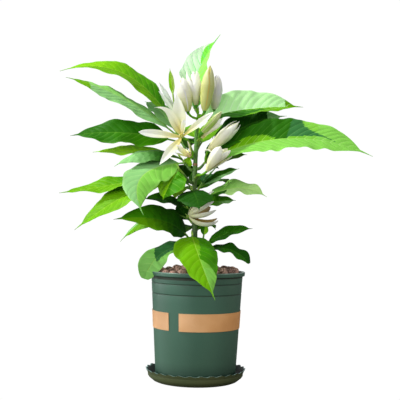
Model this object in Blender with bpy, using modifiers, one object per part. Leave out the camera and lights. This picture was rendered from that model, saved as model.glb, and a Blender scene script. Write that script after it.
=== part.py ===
"""A young white champaca in flower, in a round plastic pot on a scalloped saucer.

Blender 4.5, in metres, +Z up. The origin is the middle of the saucer's flat underside, and the side
that the plant shows best faces -Y. Leaves, sprays and flowers are described in millimetres and degrees:
a bearing is counted anticlockwise from +X, seen from above.
"""

import math
import random
from typing import NamedTuple

import bmesh
import bpy
from mathutils import Matrix, Vector

MM = 0.001
GAP = 0.3 * MM
UP = Vector((0, 0, 1))

# Saucer
SAUCER_FOOT_R = 57 * MM
SAUCER_RIM_R = 69.5 * MM
SAUCER_HEIGHT = 17 * MM
SAUCER_WALL = 1.8 * MM
SAUCER_FLOOR = 2.2 * MM
SCALLOPS = 30
SCALLOP_DEPTH = 1.6 * MM

# Pot
POT_FOOT_Z = SAUCER_FLOOR + GAP
POT_TOP_Z = 152 * MM
POT_FOOT_R = 55.8 * MM
POT_NECK_R = 64.5 * MM
POT_WALL = 2 * MM
POT_FLOOR = 3 * MM
LIP_OUT = 3 * MM
LIP_HEIGHT = 5.5 * MM
GROOVE_DEPTH = 0.5 * MM
GROOVE_HEIGHTS = (136.5 * MM, 122 * MM)
DRAIN_HOLES = 4
DRAIN_R = 4 * MM
DRAIN_RING_R = 30 * MM
POT_SIDES = 48

# Strip round the pot, open over one short gap
STRIP_LOW_Z = 74 * MM
STRIP_HIGH_Z = 98 * MM
STRIP_THICK = 0.5 * MM
STRIP_GAP_CENTRE = -119.8
STRIP_GAP_WIDTH = 15

# Potting mix and the clay pebbles on it
SOIL_TOP_Z = 141 * MM
BED_EDGE_Z = 148 * MM
BED_MIDDLE_Z = 154 * MM
BED_HOLE_R = 10 * MM
PEBBLE_R = 5.6 * MM
PEBBLE_TRIES = 900
PEBBLE_SPACING = 0.92
PEBBLE_SIZES = (0.82, 1.15)
PEBBLE_LIFT = (-0.1, 0.35)
PEBBLE_SHAPE = (1.08, 0.95, 0.88)
PEBBLE_SEED = 5

# Trunk
TRUNK_X = -5 * MM
TRUNK_FOOT_Z = SOIL_TOP_Z + GAP
TRUNK_TOP_Z = 358 * MM
TRUNK_FOOT_R = 7.5 * MM
TRUNK_LOW_R = 4.3 * MM
TRUNK_TOP_R = 2.7 * MM
FLARE_HEIGHT = 18 * MM
TRUNK_RINGS = 18
TRUNK_SWAY = 0.9 * MM
SWAY_WAVES = 1.3

# Boughs, and the stems and stalks of the sprays that they and the trunk carry
BOUGH_FOOT_R = 2.2 * MM
BOUGH_TIP_R = 1.6 * MM
BOUGH_SAG = 1.5 * MM
STEM_FOOT_R = 1.6 * MM
STEM_TIP_R = 1.1 * MM
STEM_SAG = 0.5 * MM
STALK_RADII = (1.2 * MM, 1.1 * MM, 1.1 * MM, 1.3 * MM, 1.9 * MM)

# Leaves
LEAF_THICK_SHARE = 0.011
LEAF_STATIONS = 12
PETIOLE_R = 1.25 * MM
TIP_SHARE = 0.16
TIP_WIDTH_SHARE = 0.13
WAVES = 2.6
GOLDEN_SHARE = 0.618

# Tepals
TEPAL_THICK = 1.1 * MM
TEPAL_STATIONS = 4
WHORL_R = 1 * MM
WHORL_STEP = 0.7 * MM
BUD_SIDES = 6
BUD_RINGS = 6


class Leaf(NamedTuple):
    """One leaf, from where its stalk leaves the spray's stem to its tip.

    at       share of the way along the stem
    bearing  direction of the tip
    reach    how far out the tip lies, level
    rise     how far above the root the tip lies
    width    of the whole blade
    arch     how far the midrib's middle stands above the straight line to the tip
    lead     where along that line the arch is highest: low for a leaf that climbs first
    bow      how far the middle stands to the left of that line, seen from above
    roll     turn of the blade about its midrib
    twist    further turn by its tip
    fold     how far each half rises from flat, or hangs where it is below nought
    belly    share of the blade's length where it is widest
    wave     height of the margin's waves, as a share of the half width
    stalk    share of the length that is bare stalk
    """

    at: float
    bearing: float
    reach: float
    rise: float
    width: float
    arch: float = 0
    lead: float = 0.5
    bow: float = 0
    roll: float = 0
    twist: float = 0
    fold: float = 8
    belly: float = 0.45
    wave: float = 0.08
    stalk: float = 0.12


class Flower(NamedTuple):
    """One flower or bud on its stalk.

    at       share of the way along the stem
    bearing  direction that the stalk leans to, and reach and rise how far it goes
    facing   bearing of the flower's axis, and lean its angle from upright
    length   of its longest tepals
    width    of each tepal, or of a whole bud
    spread   angle between a tepal's tip and the axis
    turns    each tepal's place round the axis, in degrees: none for a closed bud
    """

    at: float
    bearing: float
    reach: float
    rise: float
    facing: float
    lean: float
    length: float
    width: float
    spread: float = 0
    turns: tuple = ()


class Spray(NamedTuple):
    """One mass of leaves and flowers on its own short stem."""

    name: str
    carrier: str
    foot: float
    bearing: float
    reach: float
    rise: float
    leaves: tuple
    flowers: tuple = ()


class Bough(NamedTuple):
    """One side limb, from the trunk's bark at height foot, out and up to where its spray starts."""

    name: str
    foot: float
    bearing: float
    reach: float
    rise: float


BOUGHS = (
    Bough("bough_upper_left", 311, 150, 17, 21),
    Bough("bough_left", 294, 178, 8, 9),
    Bough("bough_lower_left", 276, 205, 12, 12),
    Bough("bough_right", 296, -12, 7, 7),
)

def grown_leaves(seed, count, length, rise, first, last):
    """Leaves set up a stem at the golden share of the hidden side, from bearing first to last."""
    chance = random.Random(seed)
    leaves = []
    for i in range(count):
        reach = length * chance.uniform(0.8, 1.08)
        leaves.append(Leaf(
            at=(i + 0.6) / count,
            bearing=first + (last - first) * ((i * GOLDEN_SHARE + 0.12) % 1),
            reach=reach,
            rise=rise * chance.uniform(0.2, 1.8) - 12 * (i % 2),
            width=0.3 * reach,
            arch=0.13 * reach,
            roll=chance.uniform(-22, 22),
            belly=0.42,
        ))
    return tuple(leaves)


SPRAYS = (
    Spray(
        "spray_top", "trunk", 358, 60, 3, 18,
        leaves=(
            Leaf(0.9, 60, 62, 126, 54, lead=0.3, bow=22, roll=21, fold=40, belly=0.42, stalk=0.1),
            Leaf(0.3, 9, 155, 26, 60, arch=8, lead=0.4, roll=48, fold=32, belly=0.4, stalk=0.08),
        ),
        flowers=(
            Flower(0.5, 205, 15, 9, 180, 12, 49, 15),
            Flower(0.9, 215, 3, 11, 185, 6, 52, 14),
            Flower(0.6, -50, 15, 8, 0, 6, 67, 19),
            Flower(0.8, 15, 27, 9, 0, 4, 48, 13),
        ),
    ),
    Spray(
        "spray_upper_left", "bough_upper_left", 0, 153, 9, 16,
        leaves=(
            Leaf(1.0, 171, 177, 91, 50, arch=45, lead=0.36, roll=-28, stalk=0.13),
            Leaf(0.6, 187, 162, 80, 42, arch=13, roll=-31, fold=-8, stalk=0.1),
            Leaf(0.1, 177, 161, 8, 50, arch=9, roll=-50, fold=5, belly=0.42, stalk=0.12),
            Leaf(0.8, 148, 60, 52, 36, arch=8, roll=-20),
            Leaf(0.88, 190, 13, 90, 9, roll=80, stalk=0.62),
        ),
        flowers=(
            Flower(0.45, 190, 3, 28, 178, 22, 46, 8, 14, (0, 90, 200)),
        ),
    ),
    Spray(
        "spray_left", "bough_left", 0, 175, 7, 8,
        leaves=(
            Leaf(
                0.1, 239, 100, -75, 54,
                arch=24, lead=0.75, bow=-34, roll=-48, twist=48, fold=-8, belly=0.42, stalk=0.08,
            ),
            Leaf(0.9, 168, 132, 9, 34, arch=5, roll=-28, belly=0.5),
            Leaf(0.7, 193, 96, -13, 38, arch=16, roll=-30, fold=-18),
        ),
    ),
    Spray(
        "spray_lower_left", "bough_lower_left", 0, 200, 6, 7,
        leaves=(
            Leaf(0.8, 184, 167, -36, 42, arch=-3, roll=-28, wave=0.16),
            Leaf(0.6, 197, 147, -85, 46, arch=9, roll=-32),
            Leaf(0.9, 232, 35, -45, 42, arch=5, roll=20, fold=22, belly=0.55),
        ),
    ),
    Spray(
        "spray_middle", "trunk", 261, 245, 4, 5,
        leaves=(
            Leaf(0.9, 278, 81, -29, 48, arch=5, roll=8, fold=-10, belly=0.4, stalk=0.06),
        ),
    ),
    Spray(
        "spray_blossom", "trunk", 318, 215, 9, 18,
        leaves=(),
        flowers=(
            Flower(1.0, 200, 9, 4, 262, 80, 62, 13, 76, (88, -54, 12, 150, 48)),
        ),
    ),
    Spray(
        "spray_high_right", "trunk", 336, -60, 4, 4,
        leaves=(),
        flowers=(
            Flower(1.0, -80, 13, 4, -12, 44, 42, 10),
        ),
    ),
    Spray(
        "spray_right", "bough_right", 0, 0, 6, 8,
        leaves=(
            Leaf(0.5, -10, 230, 7, 64, arch=28, roll=48, fold=18, belly=0.5),
            Leaf(0.9, 14, 117, 66, 46, arch=18, lead=0.35, roll=50),
        ),
        flowers=(
            Flower(0.4, -60, 8, 15, -6, 46, 60, 15),
        ),
    ),
    Spray(
        "spray_half_open", "trunk", 283, -75, 8, 3,
        leaves=(),
        flowers=(
            Flower(1.0, -35, 17, 6, -14, 36, 44, 13, 18, (20, 90, 170, 255)),
        ),
    ),
    Spray(
        "spray_mid_right", "trunk", 266, -20, 5, 8,
        leaves=(
            Leaf(0.5, -8, 56, 27, 24, arch=3, roll=35),
            Leaf(0.9, -45, 30, 24, 26, roll=30),
        ),
    ),
    Spray(
        "spray_low_right", "trunk", 244, -10, 5, 7,
        leaves=(
            Leaf(0.9, -12, 93, 7, 34, arch=16, bow=10, roll=35, wave=0.2),
            Leaf(0.1, 8, 54, 8, 28, arch=2, roll=30),
        ),
    ),
    Spray(
        "spray_low_flower", "trunk", 226, 262, 9, 3,
        leaves=(),
        flowers=(
            Flower(1.0, 190, 6, 1, -28, 72, 42, 16, 27, (33, 98, 172, 238, 308)),
        ),
    ),
    Spray(
        "spray_front", "trunk", 236, 215, 5, 4,
        leaves=(
            Leaf(0.8, 200, 67, 12, 30, arch=6, roll=-30),
            Leaf(0.3, 250, 30, 12, 20, arch=4),
        ),
    ),
    Spray(
        "spray_low_left", "trunk", 220, 140, 6, 6,
        leaves=(
            Leaf(0.7, 172, 100, -33, 36, arch=22, roll=-35, fold=-10),
            Leaf(0.3, 138, 30, 24, 20, arch=0, roll=-40),
        ),
    ),
    Spray(
        "spray_foot_left", "trunk", 194, 195, 4, 5,
        leaves=(
            Leaf(0.9, 204, 111, 24, 50, arch=15, lead=0.3, roll=-48, belly=0.38, stalk=0.06),
        ),
    ),
    Spray(
        "spray_foot", "trunk", 190, 262, 4, 8,
        leaves=(
            Leaf(0.95, 287, 102, -78, 60, arch=18, lead=0.6, bow=-8, fold=-10, belly=0.38, stalk=0.03),
            Leaf(0.1, 205, 80, -48, 46, arch=14, lead=0.6, bow=-18, roll=-20, belly=0.4),
        ),
    ),
    Spray(
        "spray_foot_right", "trunk", 179, -8, 5, 8,
        leaves=(
            Leaf(0.9, -14, 72, 27, 32, arch=6, roll=32, belly=0.4),
            Leaf(0.4, -22, 70, -19, 24, arch=12, lead=0.7, roll=28, wave=0.2),
        ),
    ),
    Spray("spray_back_low", "trunk", 204, 85, 6, 8, leaves=grown_leaves(11, 3, 92, 4, 62, 118)),
    Spray("spray_back_mid", "trunk", 258, 100, 7, 12, leaves=grown_leaves(12, 4, 128, 14, 52, 126)),
    Spray("spray_back_high", "trunk", 322, 70, 7, 14, leaves=grown_leaves(13, 4, 120, 34, 58, 112)),
)


def trunk_axis(z):
    """Middle of the trunk at height z: upright, with a slight sway."""
    share = (z - TRUNK_FOOT_Z) / (TRUNK_TOP_Z - TRUNK_FOOT_Z)
    sway = TRUNK_SWAY * math.sin(2 * math.pi * SWAY_WAVES * share)
    return Vector((TRUNK_X + sway, 0.5 * sway, z))


def trunk_radius(z):
    """Taper from foot to tip, with the root flare added near the soil."""
    share = (z - TRUNK_FOOT_Z) / (TRUNK_TOP_Z - TRUNK_FOOT_Z)
    flare = (TRUNK_FOOT_R - TRUNK_LOW_R) * math.exp(-3 * (z - TRUNK_FOOT_Z) / FLARE_HEIGHT)
    return TRUNK_LOW_R + (TRUNK_TOP_R - TRUNK_LOW_R) * share + flare


def level(bearing):
    """Level unit vector at a bearing in degrees."""
    angle = math.radians(bearing)
    return Vector((math.cos(angle), math.sin(angle), 0))


def between(start, bend, end, t):
    """Point at t on the quadratic curve from start to end that bend pulls on."""
    return start * (1 - t) ** 2 + bend * 2 * t * (1 - t) + end * t * t


def slope(start, bend, end, t):
    """Direction of that curve at t."""
    return ((bend - start) * (1 - t) + (end - bend) * t).normalized()


def blade_share(t, belly):
    """Half width of a blade at t, as a share of its widest: oval, with a drawn-out tip."""
    place = min(1.0, t / (1 - 0.5 * TIP_SHARE)) ** (math.log(0.5) / math.log(belly))
    body = (1 - abs(2 * place - 1) ** 2.2) ** 0.8
    tip = TIP_WIDTH_SHARE * min(1.0, (1 - t) / TIP_SHARE)
    return math.hypot(body, tip * min(1.0, 4 * t))


def leaf_axes(direction, roll):
    """Side and upward unit vectors of a blade whose midrib runs along direction."""
    side = UP.cross(direction).normalized()
    turn = Matrix.Rotation(math.radians(roll), 3, direction)
    side = turn @ side
    return side, direction.cross(side).normalized()


def leaf_rings(leaf, root, stations=LEAF_STATIONS):
    """Four-cornered rings from the stalk's root to the leaf's tip: left, top, right, bottom."""
    tip = root + level(leaf.bearing) * leaf.reach * MM + UP * leaf.rise * MM
    side_way = UP.cross(level(leaf.bearing))
    bend = root + (tip - root) * leaf.lead + UP * 2 * leaf.arch * MM + side_way * 2 * leaf.bow * MM
    thick = LEAF_THICK_SHARE * (tip - root).length
    shares = [0, leaf.stalk * 0.5, leaf.stalk]
    shares += [leaf.stalk + (1 - leaf.stalk) * (i + 1) / stations for i in range(stations)]
    rings = []
    for t in shares:
        middle = between(root, bend, tip, t)
        b = max(0.0, (t - leaf.stalk) / (1 - leaf.stalk))
        side, up = leaf_axes(slope(root, bend, tip, t), leaf.roll + leaf.twist * b)
        half = max(leaf.width / 2 * MM * blade_share(b, leaf.belly), PETIOLE_R * (1 - 0.8 * b))
        fold = math.radians(leaf.fold) * min(1.0, b * 6)
        ripple = leaf.wave * half * min(1.0, b * 4)
        depth = max(thick, 2 * PETIOLE_R * (1 - 3 * b)) / 2 * max(0.35, 1 - b)
        left, right = (
            middle
            + side * sign * half * math.cos(fold)
            + up * (half * math.sin(fold) + ripple * math.sin(2 * math.pi * (WAVES * b + 0.2 * sign)))
            for sign in (1, -1)
        )
        rings.append([left, middle + up * depth, right, middle - up * depth])
    return rings


def tepal_rings(base, axis, across, flower, length):
    """Rings of one tepal: it starts up the flower's axis and leans out to its spread."""
    spread = math.radians(flower.spread)
    lean = axis * math.cos(spread) + across * math.sin(spread)
    early = axis * math.cos(spread * 0.7) + across * math.sin(spread * 1.6)
    tip = base + lean * length
    bend = base + early * length * 0.5
    beside = axis.cross(across).normalized()
    rings = []
    for i in range(TEPAL_STATIONS + 1):
        t = i / TEPAL_STATIONS
        middle = between(base, bend, tip, t)
        outward = slope(base, bend, tip, t).cross(beside).normalized()
        half = flower.width / 2 * MM * (0.3 + 0.7 * math.sin(math.pi * min(1, 0.12 + t * 0.86)) ** 0.8)
        half *= 1 if t < 1 else 0.25
        depth = TEPAL_THICK / 2 * (1 - 0.5 * t)
        cup = half * 0.35
        rings.append([
            middle + beside * half + outward * cup,
            middle + outward * depth,
            middle - beside * half + outward * cup,
            middle - outward * depth,
        ])
    return rings


def loft(name, rings):
    """Closed body through rings of equal count, with a flat cap at each end."""
    bm = bmesh.new()
    rows = [[bm.verts.new(corner) for corner in ring] for ring in rings]
    count = len(rows[0])
    for low, high in zip(rows, rows[1:]):
        for i in range(count):
            j = (i + 1) % count
            bm.faces.new((low[i], low[j], high[j], high[i]))
    bm.faces.new(rows[0][::-1])
    bm.faces.new(rows[-1])
    bmesh.ops.recalc_face_normals(bm, faces=bm.faces)
    return object_from(name, bm)


def blade(name, rings):
    """Closed leaf through its rings. On each side of the midrib the upper and the lower faces are
    cut along the same diagonal, from the margin to the midrib, so that they never cross."""
    bm = bmesh.new()
    rows = [[bm.verts.new(corner) for corner in ring] for ring in rings]
    for low, high in zip(rows, rows[1:]):
        for margin in (0, 2):
            for midrib in (1, 3):
                bm.faces.new((low[margin], low[midrib], high[midrib]))
                bm.faces.new((low[margin], high[midrib], high[margin]))
    bm.faces.new(rows[0][::-1])
    bm.faces.new(rows[-1])
    bmesh.ops.recalc_face_normals(bm, faces=bm.faces)
    return object_from(name, bm)


def object_from(name, bm):
    """New object in the plant's collection that holds this mesh."""
    mesh = bpy.data.meshes.new(name)
    bm.to_mesh(mesh)
    bm.free()
    made = bpy.data.objects.new(name, mesh)
    bpy.data.collections["potted_champaca"].objects.link(made)
    return made


def tube(name, points, radii, resolution=2):
    """Tapering round limb through points, made as a bevelled curve and turned into a closed mesh."""
    curve = bpy.data.curves.new(name, "CURVE")
    curve.dimensions = "3D"
    curve.bevel_depth = 1
    curve.bevel_resolution = resolution
    curve.use_fill_caps = True
    spline = curve.splines.new("POLY")
    spline.points.add(len(points) - 1)
    for place, point, radius in zip(spline.points, points, radii):
        place.co = (*point, 1)
        place.radius = radius
    guide = bpy.data.objects.new(name + "_curve", curve)
    bpy.context.scene.collection.objects.link(guide)
    graph = bpy.context.evaluated_depsgraph_get()
    bm = bmesh.new()
    bm.from_mesh(bpy.data.meshes.new_from_object(guide.evaluated_get(graph)))
    bmesh.ops.remove_doubles(bm, verts=bm.verts, dist=0.01 * MM)
    bmesh.ops.recalc_face_normals(bm, faces=bm.faces)
    bpy.data.objects.remove(guide)
    return object_from(name, bm)


def turned(name, profile, sides):
    """Body turned about Z from a profile of (radius, height) that starts and ends on the axis."""
    bm = bmesh.new()
    corners = [bm.verts.new((r, 0, z)) for r, z in profile]
    for one, other in zip(corners, corners[1:]):
        bm.edges.new((one, other))
    made = object_from(name, bm)
    screw = made.modifiers.new("Turn", "SCREW")
    screw.axis = "Z"
    screw.steps = screw.render_steps = sides
    screw.use_merge_vertices = True
    screw.merge_threshold = 0.05 * MM
    apply_modifiers(made)
    face_outward(made)
    return made


def face_outward(made):
    """Turn every face of a closed body outward."""
    bm = bmesh.new()
    bm.from_mesh(made.data)
    bmesh.ops.recalc_face_normals(bm, faces=bm.faces)
    bm.to_mesh(made.data)
    bm.free()


def material(name, colour, roughness):
    """Plain finish in a part's main colour."""
    made = bpy.data.materials.new(name)
    made.use_nodes = True
    shader = made.node_tree.nodes["Principled BSDF"]
    shader.inputs["Base Color"].default_value = (*colour, 1)
    shader.inputs["Roughness"].default_value = roughness
    return made


def apply_modifiers(made):
    """Replace the object's mesh by what its modifiers make of it."""
    graph = bpy.context.evaluated_depsgraph_get()
    mesh = bpy.data.meshes.new_from_object(made.evaluated_get(graph))
    made.modifiers.clear()
    made.data = mesh


def joined(name, pieces):
    """One body from overlapping pieces, by a union on a collection that is then removed."""
    first, rest = pieces[0], pieces[1:]
    first.name = name
    if rest:
        extra = bpy.data.collections.new(name + "_pieces")
        bpy.context.scene.collection.children.link(extra)
        for piece in rest:
            bpy.data.collections["potted_champaca"].objects.unlink(piece)
            extra.objects.link(piece)
        union = first.modifiers.new("Join", "BOOLEAN")
        union.operation = "UNION"
        union.operand_type = "COLLECTION"
        union.collection = extra
        union.solver = "MANIFOLD"
        apply_modifiers(first)
        for piece in rest:
            bpy.data.objects.remove(piece)
        bpy.data.collections.remove(extra)
    keep_largest(first)
    return first


def keep_largest(made):
    """Drop any loose scrap that a union leaves, so that one body stays."""
    bm = bmesh.new()
    bm.from_mesh(made.data)
    groups, unseen = [], set(bm.verts)
    while unseen:
        group, front = set(), [unseen.pop()]
        while front:
            vert = front.pop()
            group.add(vert)
            for edge in vert.link_edges:
                other = edge.other_vert(vert)
                if other in unseen:
                    unseen.discard(other)
                    front.append(other)
        groups.append(group)
    groups.sort(key=len)
    scraps = [vert for group in groups[:-1] for vert in group]
    bmesh.ops.delete(bm, geom=scraps, context="VERTS")
    bm.to_mesh(made.data)
    bm.free()


def pot_radius(z):
    """Outer radius of the pot's wall at height z."""
    share = (z - POT_FOOT_Z) / (POT_TOP_Z - POT_FOOT_Z)
    return POT_FOOT_R + (POT_NECK_R - POT_FOOT_R) * share


def make_saucer(finish):
    """Shallow dish with a rounded wall whose rim flares out in scallops."""
    top = SAUCER_HEIGHT
    outer = (
        (SAUCER_RIM_R, top),
        (SAUCER_RIM_R - 1.6 * MM, top - 3.4 * MM),
        (SAUCER_RIM_R - 3 * MM, 0.45 * top),
        (SAUCER_RIM_R - 7.5 * MM, 0.2 * top),
        (SAUCER_FOOT_R, 0),
        (0, 0),
    )
    inner = (
        (0, SAUCER_FLOOR),
        (SAUCER_FOOT_R - 1 * MM, SAUCER_FLOOR),
        (SAUCER_RIM_R - 9 * MM, SAUCER_FLOOR + 2.4 * MM),
        (SAUCER_RIM_R - 3 * MM - SAUCER_WALL, 0.5 * top),
        (SAUCER_RIM_R - 1.4 * MM - SAUCER_WALL, top - 2.6 * MM),
        (SAUCER_RIM_R - SAUCER_WALL + 0.4 * MM, top),
    )
    saucer = turned("saucer", inner + outer, 2 * SCALLOPS)
    for vert in saucer.data.vertices:
        reach = math.hypot(vert.co.x, vert.co.y)
        if vert.co.z > top - 0.1 * MM and reach > SAUCER_FOOT_R:
            turn = math.atan2(vert.co.y, vert.co.x)
            wave = math.cos(SCALLOPS * turn)
            vert.co.z += wave * SCALLOP_DEPTH / 2 - SCALLOP_DEPTH / 2
            push = 1 + wave * 0.6 * MM / reach
            vert.co.x *= push
            vert.co.y *= push
    saucer.data.materials.append(finish)


def make_pot(finish):
    """Tapering pot with an overhanging lip, two moulded grooves and drain holes."""
    profile = [
        (0, POT_FOOT_Z + POT_FLOOR),
        (POT_FOOT_R - POT_WALL - 2 * MM, POT_FOOT_Z + POT_FLOOR),
        (POT_FOOT_R - POT_WALL, POT_FOOT_Z + POT_FLOOR + 2 * MM),
        (POT_NECK_R - POT_WALL, POT_TOP_Z - 1 * MM),
        (POT_NECK_R - POT_WALL + 1 * MM, POT_TOP_Z),
        (POT_NECK_R + LIP_OUT - 0.8 * MM, POT_TOP_Z),
        (POT_NECK_R + LIP_OUT, POT_TOP_Z - 0.8 * MM),
        (POT_NECK_R + LIP_OUT - 0.3 * MM, POT_TOP_Z - LIP_HEIGHT),
        (pot_radius(POT_TOP_Z - LIP_HEIGHT), POT_TOP_Z - LIP_HEIGHT),
    ]
    for z in GROOVE_HEIGHTS:
        wall = pot_radius(z)
        profile += [
            (wall, z + 0.9 * MM),
            (wall - GROOVE_DEPTH, z),
            (wall, z - 0.9 * MM),
        ]
    profile += [
        (POT_FOOT_R + 0.1 * MM, POT_FOOT_Z + 1.5 * MM),
        (POT_FOOT_R - 1.5 * MM, POT_FOOT_Z),
        (0, POT_FOOT_Z),
    ]
    pot = turned("pot", profile, POT_SIDES)
    drills = bpy.data.collections.new("drills")
    bpy.context.scene.collection.children.link(drills)
    for i in range(DRAIN_HOLES):
        bm = bmesh.new()
        bmesh.ops.create_cone(
            bm, cap_ends=True, segments=12, radius1=DRAIN_R, radius2=DRAIN_R, depth=6 * POT_FLOOR
        )
        drill = object_from(f"drill_{i}", bm)
        drill.location = level(45 + 360 * i / DRAIN_HOLES) * DRAIN_RING_R + UP * POT_FOOT_Z
        bpy.data.collections["potted_champaca"].objects.unlink(drill)
        drills.objects.link(drill)
    cut = pot.modifiers.new("Drain holes", "BOOLEAN")
    cut.operation = "DIFFERENCE"
    cut.operand_type = "COLLECTION"
    cut.collection = drills
    cut.solver = "EXACT"
    apply_modifiers(pot)
    for drill in list(drills.objects):
        bpy.data.objects.remove(drill)
    bpy.data.collections.remove(drills)
    pot.data.materials.append(finish)


def make_strip(finish):
    """Flat strip that hugs the pot's wall, open over one short gap."""
    bm = bmesh.new()
    ends = [
        bm.verts.new((pot_radius(z) + GAP, 0, z))
        for z in (STRIP_HIGH_Z, STRIP_LOW_Z)
    ]
    bm.edges.new(ends)
    start = Matrix.Rotation(math.radians(STRIP_GAP_CENTRE + STRIP_GAP_WIDTH / 2), 3, "Z")
    bmesh.ops.rotate(bm, verts=bm.verts, matrix=start)
    strip = object_from("strip", bm)
    screw = strip.modifiers.new("Turn", "SCREW")
    screw.angle = math.radians(360 - STRIP_GAP_WIDTH)
    screw.steps = screw.render_steps = POT_SIDES
    screw.merge_threshold = 0.05 * MM
    shell = strip.modifiers.new("Thickness", "SOLIDIFY")
    shell.thickness = STRIP_THICK
    shell.offset = 1
    shell.use_even_offset = True
    strip.data.materials.append(finish)


def make_soil(finish):
    """Potting mix that fills the pot to just under its rim."""
    low = POT_FOOT_Z + POT_FLOOR + GAP
    bm = bmesh.new()
    bmesh.ops.create_cone(
        bm,
        cap_ends=True,
        segments=POT_SIDES,
        radius1=pot_radius(low) - POT_WALL - 2.6 * MM,
        radius2=pot_radius(SOIL_TOP_Z) - POT_WALL - 0.8 * MM,
        depth=SOIL_TOP_Z - low,
    )
    bmesh.ops.translate(bm, verts=bm.verts, vec=UP * (low + SOIL_TOP_Z) / 2)
    soil = object_from("soil", bm)
    soil.data.materials.append(finish)


def bed_height(reach):
    """Height of the pebbles' mound at a distance from the pot's middle."""
    share = min(1.0, reach / POT_NECK_R)
    return BED_MIDDLE_Z + (BED_EDGE_Z - BED_MIDDLE_Z) * share * share


def pebble_places():
    """Seeded scatter of pebbles on the mound, clear of the pot's wall and of the trunk."""
    chance = random.Random(PEBBLE_SEED)
    inner = pot_radius(BED_EDGE_Z) - POT_WALL
    foot = trunk_axis(TRUNK_FOOT_Z)
    places = []
    for _ in range(PEBBLE_TRIES):
        size = PEBBLE_R * chance.uniform(*PEBBLE_SIZES)
        reach = (inner - size - 2 * GAP) * math.sqrt(chance.random())
        turn = chance.uniform(0, 2 * math.pi)
        spot = Vector((reach * math.cos(turn), reach * math.sin(turn), 0))
        if (spot.xy - foot.xy).length < BED_HOLE_R + size + GAP:
            continue
        if any((spot - other).xy.length < PEBBLE_SPACING * (size + r) for other, r, _ in places):
            continue
        spot.z = bed_height(reach) + chance.uniform(*PEBBLE_LIFT) * size
        places.append((spot, size, chance.uniform(0, math.pi)))
    return places


def make_pebbles(finish):
    """Clay pebbles heaped on the soil, with a round space in them for the trunk's foot."""
    inner = pot_radius(SOIL_TOP_Z) - POT_WALL - 2 * GAP
    foot = trunk_axis(TRUNK_FOOT_Z)
    bed = turned(
        "pebbles",
        [
            (0, BED_MIDDLE_Z - 1 * MM),
            (0.6 * inner, bed_height(0.6 * inner) - 1 * MM),
            (inner, BED_EDGE_Z - 1 * MM),
            (inner, SOIL_TOP_Z + GAP),
            (0, SOIL_TOP_Z + GAP),
        ],
        36,
    )
    pieces = [bed]
    for spot, size, turn in pebble_places():
        bm = bmesh.new()
        bmesh.ops.create_icosphere(bm, subdivisions=1, radius=size)
        bmesh.ops.scale(bm, verts=bm.verts, vec=PEBBLE_SHAPE)
        bmesh.ops.rotate(bm, verts=bm.verts, matrix=Matrix.Rotation(turn, 3, "Z"))
        bmesh.ops.translate(bm, verts=bm.verts, vec=spot)
        pieces.append(object_from("pebble", bm))
    bed = joined("pebbles", pieces)
    bm = bmesh.new()
    bmesh.ops.create_cone(
        bm, cap_ends=True, segments=16, radius1=BED_HOLE_R, radius2=BED_HOLE_R, depth=60 * MM
    )
    bmesh.ops.translate(bm, verts=bm.verts, vec=foot)
    drill = object_from("trunk_space", bm)
    drill.hide_render = True
    drill.display_type = "WIRE"
    cut = bed.modifiers.new("Trunk space", "BOOLEAN")
    cut.operation = "DIFFERENCE"
    cut.object = drill
    cut.solver = "MANIFOLD"
    apply_modifiers(bed)
    bpy.data.objects.remove(drill)
    keep_largest(bed)
    bed.data.materials.append(finish)


def make_trunk(finish):
    """Upright stem from its flat cut on the soil to where the top spray takes over."""
    heights = [
        TRUNK_FOOT_Z + (TRUNK_TOP_Z - TRUNK_FOOT_Z) * (i / (TRUNK_RINGS - 1)) ** 1.35
        for i in range(TRUNK_RINGS)
    ]
    points = [trunk_axis(z) for z in heights]
    points[0] = Vector((points[1].x, points[1].y, TRUNK_FOOT_Z))
    trunk = tube("trunk", points, [trunk_radius(z) for z in heights], 4)
    trunk.data.materials.append(finish)


def bough_ends(bough):
    """Foot of a bough, just off the trunk's bark, and its tip."""
    z = bough.foot * MM
    foot = trunk_axis(z) + level(bough.bearing) * (trunk_radius(z) + GAP + BOUGH_FOOT_R * 0.8)
    return foot, foot + level(bough.bearing) * bough.reach * MM + UP * bough.rise * MM


def make_bough(bough, finish):
    """Short side limb that tapers and turns upward on its way out."""
    foot, tip = bough_ends(bough)
    bend = foot + (tip - foot) * 0.55 - UP * BOUGH_SAG
    points = [between(foot, bend, tip, i / 6) for i in range(7)]
    radii = [BOUGH_FOOT_R + (BOUGH_TIP_R - BOUGH_FOOT_R) * i / 6 for i in range(7)]
    made = tube(bough.name, points, radii)
    made.data.materials.append(finish)


def spray_foot(spray):
    """Where a spray's stem starts, a hair's breadth from its bough's tip or the trunk."""
    if spray.carrier != "trunk":
        bough = next(b for b in BOUGHS if b.name == spray.carrier)
        foot, tip = bough_ends(bough)
        return tip + (tip - foot).normalized() * 2 * GAP
    z = spray.foot * MM
    if z >= TRUNK_TOP_Z:
        return trunk_axis(TRUNK_TOP_Z) + UP * 2 * GAP
    steepness = spray.rise / math.hypot(spray.reach, spray.rise)
    return trunk_axis(z) + level(spray.bearing) * (trunk_radius(z) + GAP + STEM_FOOT_R * steepness)


def stem_line(spray):
    """Points along a spray's stem, from its foot up."""
    foot = spray_foot(spray)
    tip = foot + level(spray.bearing) * spray.reach * MM + UP * spray.rise * MM
    bend = (foot + tip) / 2 - UP * STEM_SAG
    return [between(foot, bend, tip, i / 4) for i in range(5)]


def along(points, share):
    """Point at a share of the way along a line of evenly spaced points."""
    place = share * (len(points) - 1)
    low = min(int(place), len(points) - 2)
    return points[low].lerp(points[low + 1], place - low)


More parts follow.
